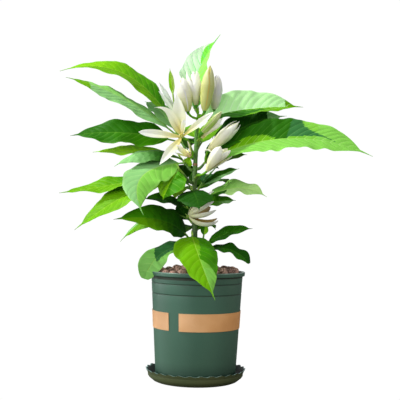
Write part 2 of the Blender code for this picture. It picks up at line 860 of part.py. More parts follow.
def flower_rings(flower, root):
    """Rings of each of a flower's tepals, set round its axis in three steps."""
    base, axis = flower_axis(flower, root)
    first = (UP - axis * UP.dot(axis)).normalized()
    rings = []
    for i, turn in enumerate(flower.turns):
        across = Matrix.Rotation(math.radians(turn), 3, axis) @ first
        length = flower.length * MM * (1 - 0.06 * (i % 3))
        start = base + across * WHORL_R + axis * WHORL_STEP * (i % 3)
        rings.append(tepal_rings(start, axis, across, flower, length))
    return rings


def flower_axis(flower, root):
    """Base of a flower's tepals and the way that the flower points."""
    base = root + level(flower.bearing) * flower.reach * MM + UP * flower.rise * MM
    lean = math.radians(flower.lean)
    return base, (UP * math.cos(lean) + level(flower.facing) * math.sin(lean)).normalized()


def bud_rings(flower, root):
    """Rings of a closed bud: a spindle that is fullest below its middle."""
    base, axis = flower_axis(flower, root)
    first = axis.orthogonal().normalized()
    rings = []
    for i in range(BUD_RINGS + 1):
        t = i / BUD_RINGS
        radius = flower.width / 2 * MM * max(0.12, math.sin(math.pi * (0.1 + 0.9 * t ** 0.85)) ** 0.75)
        middle = base + axis * flower.length * MM * t
        rings.append([
            middle + Matrix.Rotation(2 * math.pi * k / BUD_SIDES, 3, axis) @ first * radius
            for k in range(BUD_SIDES)
        ])
    return rings


def flower_pieces(flower, root, name):
    """Stalk of one flower, with its tepals or its closed bud."""
    base, axis = flower_axis(flower, root)
    bend = base - axis * (base - root).length * 0.45
    stalk = [between(root, bend, base + axis * 2 * MM, i / 4) for i in range(5)]
    pieces = [tube(name + "_stalk", stalk, STALK_RADII, 0)]
    if not flower.turns:
        return pieces + [loft(name + "_bud", bud_rings(flower, root))]
    return pieces + [loft(name + "_tepal", rings) for rings in flower_rings(flower, root)]


def make_spray(spray, finish):
    """One mass: its stem, leaves and flowers, joined into one body."""
    points = stem_line(spray)
    radii = [STEM_FOOT_R + (STEM_TIP_R - STEM_FOOT_R) * i / 4 for i in range(5)]
    pieces = [tube(spray.name, points, radii, 0)]
    for leaf in spray.leaves:
        pieces.append(blade(spray.name + "_leaf", leaf_rings(leaf, along(points, leaf.at))))
    for flower in spray.flowers:
        pieces += flower_pieces(flower, along(points, flower.at), spray.name + "_flower")
    made = joined(spray.name, pieces)
    made.data.materials.clear()
    made.data.materials.append(finish)


def main():
    for old in list(bpy.data.objects):
        bpy.data.objects.remove(old)
    plant = bpy.data.collections.new("potted_champaca")
    bpy.context.scene.collection.children.link(plant)
    plastic = material("green_plastic", (0.06, 0.16, 0.10), 0.4)
    make_saucer(plastic)
    make_pot(plastic)
    make_strip(material("kraft_strip", (0.62, 0.33, 0.15), 0.6))
    make_soil(material("potting_mix", (0.05, 0.035, 0.025), 0.95))
    make_pebbles(material("fired_clay", (0.22, 0.11, 0.08), 0.85))
    bark = material("green_bark", (0.06, 0.12, 0.04), 0.7)
    make_trunk(bark)
    for bough in BOUGHS:
        make_bough(bough, bark)
    foliage = material("leaf", (0.10, 0.30, 0.03), 0.4)
    petals = material("petal", (0.80, 0.78, 0.62), 0.5)
    for spray in SPRAYS:
        make_spray(spray, foliage if spray.leaves else petals)


if __name__ == "__main__":
    main()
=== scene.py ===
import math
import random
from typing import NamedTuple

import bmesh
import bpy
from mathutils import Matrix, Vector, noise


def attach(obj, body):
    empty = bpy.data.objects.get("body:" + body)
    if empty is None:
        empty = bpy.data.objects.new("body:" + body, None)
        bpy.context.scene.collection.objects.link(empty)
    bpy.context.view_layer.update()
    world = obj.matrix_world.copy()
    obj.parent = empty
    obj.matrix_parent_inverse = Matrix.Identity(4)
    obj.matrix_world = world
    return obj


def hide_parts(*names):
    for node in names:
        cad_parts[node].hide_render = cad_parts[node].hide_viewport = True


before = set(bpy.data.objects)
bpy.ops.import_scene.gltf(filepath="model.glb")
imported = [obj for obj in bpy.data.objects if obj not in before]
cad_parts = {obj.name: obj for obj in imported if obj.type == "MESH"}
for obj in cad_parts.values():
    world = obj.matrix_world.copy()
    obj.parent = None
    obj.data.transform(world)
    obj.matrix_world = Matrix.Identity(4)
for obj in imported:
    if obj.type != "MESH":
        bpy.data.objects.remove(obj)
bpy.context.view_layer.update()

MM = 0.001
GAP = 0.3 * MM
UP = Vector((0, 0, 1))

# The dimensions of the part's source, written again here in full, with finer ones beside them
SAUCER_FOOT_R = 57 * MM
SAUCER_RIM_R = 69.5 * MM
SAUCER_HEIGHT = 17 * MM
SAUCER_WALL = 1.8 * MM
SAUCER_FLOOR = 2.2 * MM
SAUCER_LIP = ((0, 0), (0.8, 1.8), (1.6, 3.4), (2.0, 4.6), (2.7, 5.0))
SAUCER_FLANK = ((3, 0.45), (4.6, 0.32), (7.5, 0.18), (10, 0.06))
SCALLOPS = 30
SCALLOP_DEPTH = 1.6 * MM
SCALLOP_HEIGHT = 3.6 * MM

POT_FOOT_Z = SAUCER_FLOOR + GAP
POT_TOP_Z = 152 * MM
POT_FOOT_R = 55.8 * MM
POT_NECK_R = 64.5 * MM
POT_WALL = 2 * MM
POT_FLOOR = 3 * MM
POT_WALL_HEIGHTS = (110, 98, 86, 74, 60, 45, 30, 15)
POT_SIDES = 192
LIP_OUT = 3 * MM
LIP_HEIGHT = 5.5 * MM
GROOVE_DEPTH = 0.5 * MM
GROOVE_HEIGHTS = (136.5 * MM, 122 * MM)
GROOVE_SECTION = ((1.3, 0), (0.9, 0.1), (0.4, 0.8), (0, 1), (-0.4, 0.8), (-0.9, 0.1), (-1.3, 0))
SHADE_DROP = 4.2

STRIP_LOW_Z = 74 * MM
STRIP_HIGH_Z = 98 * MM
STRIP_THICK = 0.5 * MM
STRIP_GAP_CENTRE = -119.8
STRIP_GAP_WIDTH = 15

SOIL_TOP_Z = 141 * MM
BED_EDGE_Z = 148 * MM
BED_MIDDLE_Z = 154 * MM
BED_HOLE_R = 10 * MM
PEBBLE_R = 5.6 * MM
PEBBLE_TRIES = 900
PEBBLE_SPACING = 0.92
PEBBLE_SIZES = (0.82, 1.15)
PEBBLE_LIFT = (-0.1, 0.35)
PEBBLE_SHAPE = (1.08, 0.95, 0.88)
PEBBLE_SEED = 5
MOUND_TILT = 0.06
LOWER_SIZES = (0.75, 1.0)
LOWER_SPACING = 0.9
LOWER_DROP = 0.75
LUMP_LENGTH = 4 * MM
LUMP_SHARE = 0.09

TRUNK_X = -5 * MM
TRUNK_FOOT_Z = SOIL_TOP_Z + GAP
TRUNK_TOP_Z = 358 * MM
TRUNK_FOOT_R = 7.5 * MM
TRUNK_LOW_R = 4.3 * MM
TRUNK_TOP_R = 2.7 * MM
FLARE_HEIGHT = 18 * MM
TRUNK_SWAY = 0.9 * MM
SWAY_WAVES = 1.3

BOUGH_FOOT_R = 2.2 * MM
BOUGH_TIP_R = 1.6 * MM
BOUGH_SAG = 1.5 * MM
BOUGH_SUNK = 2.5 * MM
LAP = 1.2 * MM
STEM_FOOT_R = 1.6 * MM
STEM_TIP_R = 1.1 * MM
STEM_SAG = 0.5 * MM
TIP_BUD = (9 * MM, 1.3 * MM)
AXIL_BUD = (5 * MM, 0.9 * MM)

PETIOLE_R = 1.25 * MM
TIP_SHARE = 0.16
TIP_WIDTH_SHARE = 0.13
WAVES = 2.6
GOLDEN_SHARE = 0.618

# Finer growth that only this file has
VEIN_SPACING = 12 * MM
VEIN_SHEAR = 0.17
VEIN_WIDTH = 1.5 * MM
MIDRIB_WIDTH = 2 * MM
QUILT = 0.55 * MM
SHEET_THICK = 0.35 * MM
KEEL = 0.9 * MM
KEEL_SHARES = {0: 1, 1: 0.25}
RIB_SINK = 0.3 * MM
RIPPLE_LENGTH = 13 * MM
FINE_WAVE = 0.07
QUILT_HALF = 14 * MM
STALK_LAP = 0.04
STALK_DROP = 0.4 * MM
STALK_STEPS = 9
WIDEST_RIB = 0.16
FADE_START = 0.2
FADE_LENGTH = 0.5
COLUMNS = (0.18, 0.3, 0.42, 0.54, 0.66, 0.77, 0.87, 0.95, 1.0)
VEIN_STEPS = 4
PATCH_STEPS = 9
EDGE_NOISE = 0.12
RIB_PULL = 0.4
RIB_END = 0.85
VEIN_END = 0.9
MARGIN_START = 0.94
DARK_PULL = {"deep": 0.3, "forest": 0.45, "shade": 0.5, "teal": 0.6}
VEIN_PULL = {"vein": 0.2, "shine": 0.45, "rib": 0.2, "jade": 0.8, "frost": 0.5}
MARGIN_PULL = 0.12
UNDER_PULL = 0.2
TINT_STEPS = 5
PETAL_STEPS = 10
PETAL_MIDDLE = 0.45
PETAL_FADE = 0.4
CURL_START = 0.45
TEPAL_RING_R = 1.2 * MM
TEPAL_FOOT = 1.3 * MM
TEPAL_TIP = 0.25 * MM
TEPAL_THICK = 0.5 * MM
WRAP_THICK = 0.4 * MM
WRAP_TURN = 4.2
CORE_LENGTH = 0.95
CORE_WIDTH = 0.92
STAMEN_LENGTH = 4.5 * MM
PETAL_WAVE = 0.4 * MM
PETAL_CREASE = 0.35 * MM
FLOWER_STALK_RADII = (1.9, 1.7, 1.792, 1.5, 1.5, 1.736, 1.65, 1.85, 2.1)
STAMENS = 20
GOLDEN_ANGLE = 137.5
SPINDLE_FULL = 0.35
SPINDLE_END = 0.06
LIVING_RELIEF = 0.25 * MM

# Tints, as sRGB from 0 to 255. Some also paint light in places: shade, teal, deep and forest stand for
# painted shade, pale_mint and frost for painted sheen.
TINTS = {
    "lime": (118, 182, 4),
    "leafy": (98, 160, 6),
    "spring": (134, 200, 14),
    "grass": (62, 134, 5),
    "forest": (38, 100, 6),
    "deep": (24, 74, 6),
    "teal": (60, 118, 66),
    "shade": (52, 112, 56),
    "sage": (130, 186, 114),
    "mint": (134, 198, 100),
    "fresh": (122, 190, 74),
    "shine": (176, 220, 132),
    "pale_mint": (186, 242, 166),
    "frost": (226, 246, 222),
    "neon": (136, 224, 84),
    "jade": (120, 224, 140),
    "vein": (206, 232, 150),
    "rib": (176, 208, 96),
    "under": (150, 186, 80),
    "stalk": (122, 160, 56),
    "young": (168, 206, 92),
    "scar": (150, 110, 74),
    "white": (255, 255, 242),
    "mist": (236, 246, 232),
    "cream": (250, 249, 204),
    "butter": (244, 236, 156),
    "celery": (222, 226, 160),
    "olive": (200, 206, 116),
    "gold": (214, 194, 92),
    "tan": (200, 166, 116),
    "ochre": (150, 118, 48),
}


class Leaf(NamedTuple):
    """One leaf, as in the source, with one tint, a tint for each half of the blade, left of the midrib
    first, or the foot's and the tip's for each half; besides the leaf's own green, these tints often paint
    light: a lit half and a shaded one, shade and sheen. A patch is a stretch of the blade in its own tint,
    followed by its corners as (share along, share across); many paint a cast shadow, a sheen or a lit
    tip, others a tip in its own green."""

    at: float
    bearing: float
    reach: float
    rise: float
    width: float
    arch: float = 0
    lead: float = 0.5
    bow: float = 0
    roll: float = 0
    twist: float = 0
    fold: float = 8
    belly: float = 0.45
    wave: float = 0.08
    stalk: float = 0.12
    tints: str = "grass"
    patches: tuple = ()
    blunt: bool = False
    veins: str = "vein"


class Tepal(NamedTuple):
    """One tepal: turn round the flower's axis, mean angle from it, length and width. It is fullest at a
    share of its length, its angle grows by sweep from foot to tip, its tip curls back and swings aside."""

    turn: float
    spread: float
    length: float
    width: float
    full: float = 0.62
    sweep: float = 12
    curl: float = 0
    cup: float = 0.4
    point: float = 0.62
    swing: float = 0


class Flower(NamedTuple):
    """One flower on its stalk. Without tepals it is a bud, whose wrapped tepals part at the tip by open
    degrees. The tints run from tip to foot: those outside, those inside, and last the margins' own."""

    at: float
    bearing: float
    reach: float
    rise: float
    facing: float
    lean: float
    length: float
    width: float
    tepals: tuple = ()
    tints: str = "white cream butter"
    inside: str = "white cream butter"
    margin: str = ""
    open: float = 0
    wraps: int = 3


class Spray(NamedTuple):
    """One mass of leaves and flowers on its own short stem."""

    name: str
    carrier: str
    foot: float
    bearing: float
    reach: float
    rise: float
    leaves: tuple
    flowers: tuple = ()


class Bough(NamedTuple):
    """One side limb."""

    name: str
    foot: float
    bearing: float
    reach: float
    rise: float


BOUGHS = (
    Bough("bough_upper_left", 311, 150, 17, 21),
    Bough("bough_left", 294, 178, 8, 9),
    Bough("bough_lower_left", 276, 205, 12, 12),
    Bough("bough_right", 296, -12, 7, 7),
)


def mass(name, carrier, foot, bearing, reach, rise, *growth):
    """One mass, with its leaves and flowers told apart."""
    leaves = tuple(one for one in growth if isinstance(one, Leaf))
    flowers = tuple(one for one in growth if isinstance(one, Flower))
    return Spray(name, carrier, foot, bearing, reach, rise, leaves, flowers)


def grown_leaves(seed, count, length, rise, first, last, tints):
    """Leaves set up a stem at the golden share of the hidden side, from bearing first to last."""
    chance = random.Random(seed)
    leaves = []
    for i in range(count):
        reach = length * chance.uniform(0.8, 1.08)
        leaves.append(Leaf(
            at=(i + 0.6) / count,
            bearing=first + (last - first) * ((i * GOLDEN_SHARE + 0.12) % 1),
            reach=reach,
            rise=rise * chance.uniform(0.2, 1.8) - 12 * (i % 2),
            width=0.3 * reach,
            arch=0.13 * reach,
            roll=chance.uniform(-22, 22),
            belly=0.42,
            tints=tints[i % len(tints)],
        ))
    return tuple(leaves)


SPRAYS = (
    mass(
        "spray_top", "trunk", 358, 60, 3, 18,
        Leaf(
            0.9, 60, 62, 126, 52, lead=0.3, bow=22, roll=22, twist=9, fold=38, belly=0.52, stalk=0.1,
            # Painted highlight: the frost half stands for a pale sheen on the blade; the neon patch keeps
            # the tip in its own green.
            tints="frost neon", veins="jade",
            patches=(("neon", (0.66, 0.0), (0.97, 1.0), (1.0, 1.0), (1.0, -1.0), (0.66, -1.0)),),
        ),
        Leaf(
            0.3, 9, 155, 26, 60, arch=8, lead=0.4, roll=48, fold=27, belly=0.4, stalk=0.08,
            # Painted reflection: pale_mint on one half stands for the sky glancing off it; the forest patch
            # near the foot is painted shade.
            tints="pale_mint pale_mint grass leafy",
            patches=(
                ("forest", (0.0, -1.0), (0.4, -1.0), (0.7, -0.3), (0.0, -0.05)),
                ("leafy", (0.84, -1.0), (1.0, -1.0), (1.0, 1.0), (0.84, 1.0)),
            ),
            veins="frost",
        ),
        Flower(0.5, 205, 15, 9, 180, 12, 50, 20, tints="white cream olive", margin="white", open=4),
        Flower(0.9, 215, 3, 11, 185, 6, 52, 15, tints="white white celery", open=8),
        Flower(0.6, -50, 15, 8, 0, 6, 67, 19.5, tints="celery olive olive", margin="gold"),
        Flower(0.8, 15, 24, 9, 0, 3, 52, 19, tints="white white cream", open=2),
    ),
    mass(
        "spray_upper_left", "bough_upper_left", 0, 153, 9, 16,
        Leaf(
            1.0, 171, 177, 91, 50, arch=45, lead=0.36, roll=-28, stalk=0.13, tints="leafy leafy grass lime",
        ),
        Leaf(
            0.6, 187, 162, 80, 42, arch=13, roll=-31, fold=-8, stalk=0.1, tints="sage mint",
            patches=(("leafy", (0.8, -1.0), (1.0, -1.0), (1.0, 1.0), (0.74, 1.0)),),
        ),
        Leaf(
            0.1, 177, 161, 8, 50, arch=9, roll=-50, fold=5, belly=0.42, wave=0.13, stalk=0.12,
            tints="grass forest forest forest",
        ),
        Leaf(0.8, 148, 60, 52, 36, arch=8, roll=-20, tints="sage"),
        Leaf(0.88, 190, 13, 94, 8, roll=80, stalk=0.62, tints="young lime"),
        Flower(
            0.45, 190, 3, 30, 178, 28, 46, 8,
            (
                Tepal(-90, 5, 58, 7, full=0.6, point=0.9, swing=-30),
                Tepal(-125, 15, 46, 7, full=0.6, point=0.9),
                Tepal(-60, 2, 40, 5),
            ),
            tints="mist mist cream", inside="mist mist cream",
        ),
    ),
    mass(
        "spray_left", "bough_left", 0, 175, 7, 8,
        Leaf(
            0.1, 239, 100, -75, 52, arch=24, lead=0.75, bow=-30, roll=-48, twist=48, fold=-8, belly=0.36,
            stalk=0.05, tints="fresh sage",
        ),
        Leaf(0.9, 168, 132, 9, 34, arch=5, roll=-28, belly=0.5, tints="spring"),
        # Painted shade: the deep tint at the foot stands for the shadow of the leaf above.
        Leaf(0.7, 193, 96, -13, 38, arch=16, roll=-30, fold=-18, tints="deep sage deep sage"),
        Leaf(0.1, 100, 30, -25, 32, arch=2, tints="deep"),
        Leaf(0.5, 335, 15, -6, 16, roll=-65, belly=0.5, stalk=0.1, tints="lime"),
    ),
    mass(
        "spray_lower_left", "bough_lower_left", 0, 200, 6, 7,
        Leaf(
            0.8, 184, 167, -36, 42, arch=-3, roll=-28, wave=0.16, tints="leafy leafy grass leafy",
            # Painted sheen: the pale_mint patch stands for light glancing off the blade.
            patches=(("pale_mint", (0.0, 0.05), (0.3, 0.1), (0.42, 0.5), (0.4, 1.0), (0.0, 1.0)),),
        ),
        Leaf(0.6, 197, 147, -85, 46, arch=9, roll=-32, tints="lime leafy leafy leafy"),
        Leaf(0.9, 232, 35, -45, 46, arch=5, roll=-4, fold=-14, belly=0.52, tints="grass spring"),
    ),
    mass(
        "spray_middle", "trunk", 261, 245, 4, 5,
        Leaf(0.9, 278, 81, -29, 48, arch=5, roll=8, fold=-10, belly=0.4, stalk=0.06, tints="deep"),
    ),
    mass(
        "spray_blossom", "trunk", 318, 215, 9, 18,
        Flower(
            1.0, 200, 9, 4, 262, 80, 62, 13,
            (
                Tepal(87, 78, 60, 12, full=0.64, cup=0.25),
                Tepal(-58, 68, 57, 10, cup=0.25),
                Tepal(8, 78, 58, 18, full=0.54, cup=0.3, point=0.9),
                Tepal(148, 76, 52, 13, full=0.52, cup=0.25, point=0.9),
                Tepal(28, 74, 60, 13, full=0.4, cup=0.2, swing=85, point=1.4),
                Tepal(-14, 48, 26, 7),
            ),
            inside="white cream gold",
        ),
        Flower(
            0.15, 255, 9, -9, 160, 46, 30, 9,
            (Tepal(20, 30, 26, 9), Tepal(100, 34, 24, 8), Tepal(180, 26, 22, 9), Tepal(265, 22, 26, 8)),
            tints="white butter tan", inside="cream butter tan",
        ),
    ),
    mass(
        "spray_high_right", "trunk", 336, -60, 4, 4,
        Flower(1.0, -80, 13, 4, -12, 44, 43, 10.5, tints="celery young young", margin="celery"),
        Flower(0.9, -70, 9, -1, -12, 48, 40, 7, (Tepal(95, 5, 40, 7.5), Tepal(150, 9, 34, 7))),
    ),
    mass(
        "spray_right", "bough_right", 0, 0, 6, 8,
        Leaf(
            0.5, -10, 230, 7, 64, arch=28, roll=48, fold=18, belly=0.46, stalk=0.05,
            tints="leafy fresh fresh fresh",
            # Painted shadow: the shade and forest patches stand for the shadow that the leaf above casts on
            # this one.
            patches=(
                (
                    "shade", (0.46, 0.05), (0.59, 0.17), (0.67, 0.26), (0.78, 0.12), (0.62, 0.48),
                    (0.57, 0.7), (0.55, 1.0), (0.5, 1.0),
                ),
                (
                    "forest", (0.0, 0.0), (0.12, 0.3), (0.21, 0.5), (0.33, 0.31), (0.39, 0.06),
                    (0.46, 0.05), (0.5, 1.0), (0.0, 1.0),
                ),
            ),
            veins="shine",
        ),
        Leaf(
            # Painted shade: deep and forest stand for the shadow of the leaf above, the sage patch for its
            # lit tip.
            0.9, 14, 117, 66, 46, arch=18, lead=0.35, roll=50, tints="deep forest",
            patches=(("sage", (0.74, -1.0), (1.0, -1.0), (1.0, 1.0), (0.8, 1.0)),),
        ),
        Leaf(0.2, 20, 22, -8, 17, arch=2, roll=40, tints="deep"),
        Leaf(0.3, 26, 48, 48, 26, arch=3, roll=48, belly=0.4, stalk=0.05, tints="deep teal"),
        Leaf(0.4, 16, 62, 12, 24, arch=3, roll=42, belly=0.4, stalk=0.05, tints="grass leafy"),
        Leaf(0.1, 22, 30, 22, 18, arch=3, roll=35, tints="grass forest"),
        Flower(0.4, -60, 8, 15, -6, 46, 60, 16.5, open=3, wraps=4),
    ),
    mass(
        "spray_half_open", "trunk", 283, -75, 8, 3,
        Flower(
            1.0, -35, 17, 6, -14, 36, 44, 13,
            (
                Tepal(78, 12, 40, 18, cup=0.6, sweep=-6),
                Tepal(20, 20, 40, 9, sweep=30, curl=150),
                Tepal(150, 16, 43, 13),
                Tepal(200, 22, 40, 12),
                Tepal(255, 12, 42, 13),
                Tepal(320, 12, 38, 12),
                Tepal(120, 3, 38, 12, cup=0.8),
            ),
            tints="white cream butter", inside="cream butter gold",
        ),
    ),
    mass(
        "spray_mid_right", "trunk", 266, -20, 5, 8,
        Leaf(0.5, -8, 56, 27, 24, arch=3, roll=35, tints="forest sage"),
        Leaf(0.9, -45, 30, 24, 26, roll=30, tints="teal sage teal sage"),
        Leaf(0.9, 40, 34, 14, 24, arch=3, roll=25, tints="teal"),
    ),
    mass(
        "spray_low_right", "trunk", 244, -10, 5, 7,
        Leaf(
            0.9, -12, 93, 7, 34, arch=16, bow=10, roll=35, wave=0.2, tints="fresh shine shine shine",
            patches=(("forest", (0.0, -1.0), (0.22, -1.0), (0.3, -0.1), (0.0, 0.0)),),
        ),
        Leaf(0.1, 8, 54, 8, 28, arch=2, roll=30, tints="grass grass grass sage"),
    ),
    mass(
        "spray_low_flower", "trunk", 226, 262, 9, 3,
        Flower(
            1.0, 190, 6, 1, 4, 60, 42, 16,
            (
                Tepal(150, 40, 47, 13, full=0.5, sweep=-92, point=0.7),
                Tepal(118, 31, 44, 8, full=0.5, sweep=-72, cup=0.3),
                Tepal(88, 25, 43, 7, full=0.5, sweep=-54, cup=0.3),
                Tepal(52, 20, 43, 7, full=0.5, sweep=-40, cup=0.3),
                Tepal(18, 14, 48, 9, full=0.5, sweep=-20, cup=0.3),
                Tepal(200, 34, 42, 16, full=0.5, sweep=-70, cup=0.5),
                Tepal(255, 26, 40, 16, full=0.5, sweep=-60, cup=0.5),
                Tepal(315, 20, 40, 14, full=0.5, sweep=-40, cup=0.5),
                Tepal(0, 16, 46, 7, full=0.5, sweep=-10),
            ),
            tints="white cream celery", inside="tan ochre ochre",
        ),
    ),
    mass(
        "spray_front", "trunk", 236, 215, 5, 4,
        Leaf(0.8, 200, 67, 12, 30, arch=6, roll=-30, tints="deep forest deep grass"),
        Leaf(0.3, 250, 30, 12, 20, arch=4, tints="deep"),
    ),
    mass(
        "spray_low_left", "trunk", 220, 140, 6, 6,
        Leaf(0.7, 172, 100, -33, 36, arch=22, roll=-35, fold=-10, tints="deep leafy deep sage"),
        Leaf(0.3, 138, 30, 24, 20, arch=0, roll=-40, tints="deep"),
    ),
    mass(
        "spray_foot_left", "trunk", 194, 195, 4, 5,
        Leaf(
            0.9, 204, 111, 24, 50, arch=15, lead=0.3, roll=-48, belly=0.38, stalk=0.06,
            tints="deep leafy deep grass",
        ),
    ),
    mass(
        "spray_foot", "trunk", 190, 250, 5, 12,
        Leaf(
            0.95, 288, 102, -80, 59, arch=18, lead=0.6, bow=-8, fold=-10, belly=0.38, stalk=0.03,
            tints="leafy fresh leafy leafy", veins="rib",
            # Painted shadow: the grass patch stands for shade cast on the blade's upper part.
            patches=(
                ("grass", (0.0, 0.3), (0.3, 0.25), (0.52, 0.0), (0.62, 0.5), (0.75, 1.0), (0.0, 1.0)),
            ),
        ),
        Leaf(
            0.1, 205, 72, -49, 39, arch=12, lead=0.6, bow=-18, roll=-22, belly=0.4,
            tints="fresh mint neon mint", blunt=True,
            # Painted shadow: the shade patch stands for the shadow cast on the blade's upper part.
            patches=(
                ("shade", (0.0, -1.0), (0.41, -1.0), (0.5, -0.5), (0.65, 0.3), (0.28, 0.55), (0.0, 0.9)),
            ),
        ),
    ),
    mass(
        "spray_foot_right", "trunk", 179, -8, 5, 8,
        Leaf(0.9, -14, 72, 27, 32, arch=6, roll=32, belly=0.4, tints="forest"),
        Leaf(0.4, -22, 73, -17, 23, arch=12, lead=0.7, roll=28, wave=0.2, tints="deep forest", blunt=True),
        Leaf(0.9, 60, 10, 34, 11, roll=20, stalk=0.5, tints="forest lime"),
    ),
    mass(
        "spray_back_low", "trunk", 204, 85, 6, 8,
        *grown_leaves(11, 3, 92, 4, 62, 118, ("grass", "forest grass", "leafy")),
    ),
    mass(
        "spray_back_mid", "trunk", 258, 100, 7, 12,
        *grown_leaves(12, 4, 128, 14, 52, 126, ("forest grass", "spring", "grass")),
    ),
    mass(
        "spray_back_high", "trunk", 322, 70, 7, 14,
        *grown_leaves(13, 4, 120, 34, 58, 112, ("leafy", "grass forest", "fresh")),
    ),
)


def trunk_axis(z):
    """Middle of the trunk at height z: upright, with a slight sway."""
    share = (z - TRUNK_FOOT_Z) / (TRUNK_TOP_Z - TRUNK_FOOT_Z)
    sway = TRUNK_SWAY * math.sin(2 * math.pi * SWAY_WAVES * share)
    return Vector((TRUNK_X + sway, 0.5 * sway, z))


def trunk_radius(z):
    """Taper from foot to tip, with the root flare added near the soil."""
    share = (z - TRUNK_FOOT_Z) / (TRUNK_TOP_Z - TRUNK_FOOT_Z)
    flare = (TRUNK_FOOT_R - TRUNK_LOW_R) * math.exp(-3 * (z - TRUNK_FOOT_Z) / FLARE_HEIGHT)
    return TRUNK_LOW_R + (TRUNK_TOP_R - TRUNK_LOW_R) * share + flare


def level(bearing):
    """Level unit vector at a bearing in degrees."""
    angle = math.radians(bearing)
    return Vector((math.cos(angle), math.sin(angle), 0))


def between(start, bend, end, t):
    """Point at t on the quadratic curve from start to end that bend pulls on."""
    return start * (1 - t) ** 2 + bend * 2 * t * (1 - t) + end * t * t


def slope(start, bend, end, t):
    """Direction of that curve at t."""
    return ((bend - start) * (1 - t) + (end - bend) * t).normalized()


def blade_share(t, belly):
    """Half width of a blade at t, as a share of its widest: oval, with a drawn-out tip."""
    place = min(1.0, t / (1 - 0.5 * TIP_SHARE)) ** (math.log(0.5) / math.log(belly))
    body = max(0.0, 1 - abs(2 * place - 1) ** 2.2) ** 0.8
    tip = TIP_WIDTH_SHARE * min(1.0, (1 - t) / TIP_SHARE)
    return math.hypot(body, tip * min(1.0, 4 * t))


def turned_way(way, degrees, axis):
    """A direction turned about an axis."""
    return Matrix.Rotation(math.radians(degrees), 3, axis) @ way


def leaf_axes(direction, roll):
    """Side and upward unit vectors of a blade whose midrib runs along direction."""
    side = turned_way(UP.cross(direction).normalized(), roll, direction)
    return side, direction.cross(side).normalized()


def tip_of(part, root):
    """Where a bough, stem, leaf or flower's stalk ends that starts at root."""
    return root + level(part.bearing) * part.reach * MM + UP * part.rise * MM


def shares(steps):
    """Evenly spaced shares from 0 to 1."""
    return [i / steps for i in range(steps + 1)]


def bough_ends(bough):
    """Foot of a bough, just off the trunk's bark, and its tip."""
    z = bough.foot * MM
    foot = trunk_axis(z) + level(bough.bearing) * (trunk_radius(z) + GAP + BOUGH_FOOT_R * 0.8)
    return foot, tip_of(bough, foot)


def spray_foot(spray):
    """Where a spray's stem starts, a hair's breadth from its bough's tip or the trunk."""
    if spray.carrier != "trunk":
        bough = next(b for b in BOUGHS if b.name == spray.carrier)
        foot, tip = bough_ends(bough)
        return tip + (tip - foot).normalized() * 2 * GAP
    z = spray.foot * MM
    if z >= TRUNK_TOP_Z:
        return trunk_axis(TRUNK_TOP_Z) + UP * 2 * GAP
    steepness = spray.rise / math.hypot(spray.reach, spray.rise)
    return trunk_axis(z) + level(spray.bearing) * (trunk_radius(z) + GAP + STEM_FOOT_R * steepness)


def stem_line(spray):
    """Points along a spray's stem, from its foot up."""
    foot = spray_foot(spray)
    tip = tip_of(spray, foot)
    bend = (foot + tip) / 2 - UP * STEM_SAG
    return [between(foot, bend, tip, t) for t in shares(4)]


def along(points, share):
    """Point at a share of the way along a line of evenly spaced points."""
    place = share * (len(points) - 1)
    low = min(int(place), len(points) - 2)
    return points[low].lerp(points[low + 1], place - low)


def flower_axis(flower, root):
    """Base of a flower's tepals and the way that the flower points."""
    lean = math.radians(flower.lean)
    return tip_of(flower, root), (UP * math.cos(lean) + level(flower.facing) * math.sin(lean)).normalized()


def linear(value):
    """One sRGB channel from 0 to 255 as linear light."""
    share = value / 255
    return share / 12.92 if share <= 0.04045 else ((share + 0.055) / 1.055) ** 2.4


def mixed(one, other, share):
    """sRGB colour a share of the way from one to the other."""
    return tuple(a + (b - a) * share for a, b in zip(one, other))


def placed(name, data):
    """New object in the scene."""
    made = bpy.data.objects.new(name, data)
    bpy.context.scene.collection.objects.link(made)
    return made


class Pile:
    """Faces gathered for one piece, each with the finish that it takes."""

    def __init__(self, name):
        self.name = name
        self.verts = []
        self.faces = []
        self.marks = []
        self.finishes = []

    def mark(self, finish):
        """Slot number of a finish on this piece."""
        if finish not in self.finishes:
            self.finishes.append(finish)
        return self.finishes.index(finish)

    def add(self, verts, faces, finish):
        """Adds faces that all take one finish, or each its own from a list."""
        start = len(self.verts)
        self.verts += verts
        self.faces += [tuple(start + i for i in face) for face in faces]
        if isinstance(finish, list):
            self.marks += [self.mark(one) for one in finish]
        else:
            self.marks += [self.mark(finish)] * len(faces)

    def made(self, slot, *nodes, sharp=None):
        """The piece itself, set to ride with the pot and to replace its CAD nodes."""
        mesh = bpy.data.meshes.new(self.name)
        mesh.from_pydata([tuple(v) for v in self.verts], [], self.faces)
        for finish in self.finishes:
            mesh.materials.append(finish)
        mesh.polygons.foreach_set("material_index", self.marks)
        mesh.polygons.foreach_set("use_smooth", [True] * len(mesh.polygons))
        if sharp:
            mesh.set_sharp_from_angle(angle=math.radians(sharp))
        mesh.update()
        piece = placed(self.name, mesh)
        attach(piece, "root")
        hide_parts(*nodes)


def new_finish(name, colour, roughness, gloss=0.5):
    """Material with a Principled shader in this sRGB colour, and its node tree."""
    made = bpy.data.materials.new(name)
    made.use_nodes = True
    tree = made.node_tree
    shader = tree.nodes["Principled BSDF"]
    shader.inputs["Base Color"].default_value = (*(linear(c) for c in colour), 1)
    shader.inputs["Roughness"].default_value = roughness
    shader.inputs["Specular IOR Level"].default_value = gloss
    return made, tree, shader


def node(tree, kind, inputs, out):
    """One output of a new shader node, after its inputs are linked to sockets or set to values."""
    made = tree.nodes.new(kind)
    for name, value in inputs.items():
        if isinstance(value, bpy.types.NodeSocket):
            tree.links.new(value, made.inputs[name])
        else:
            made.inputs[name].default_value = value
    return made.outputs[out]


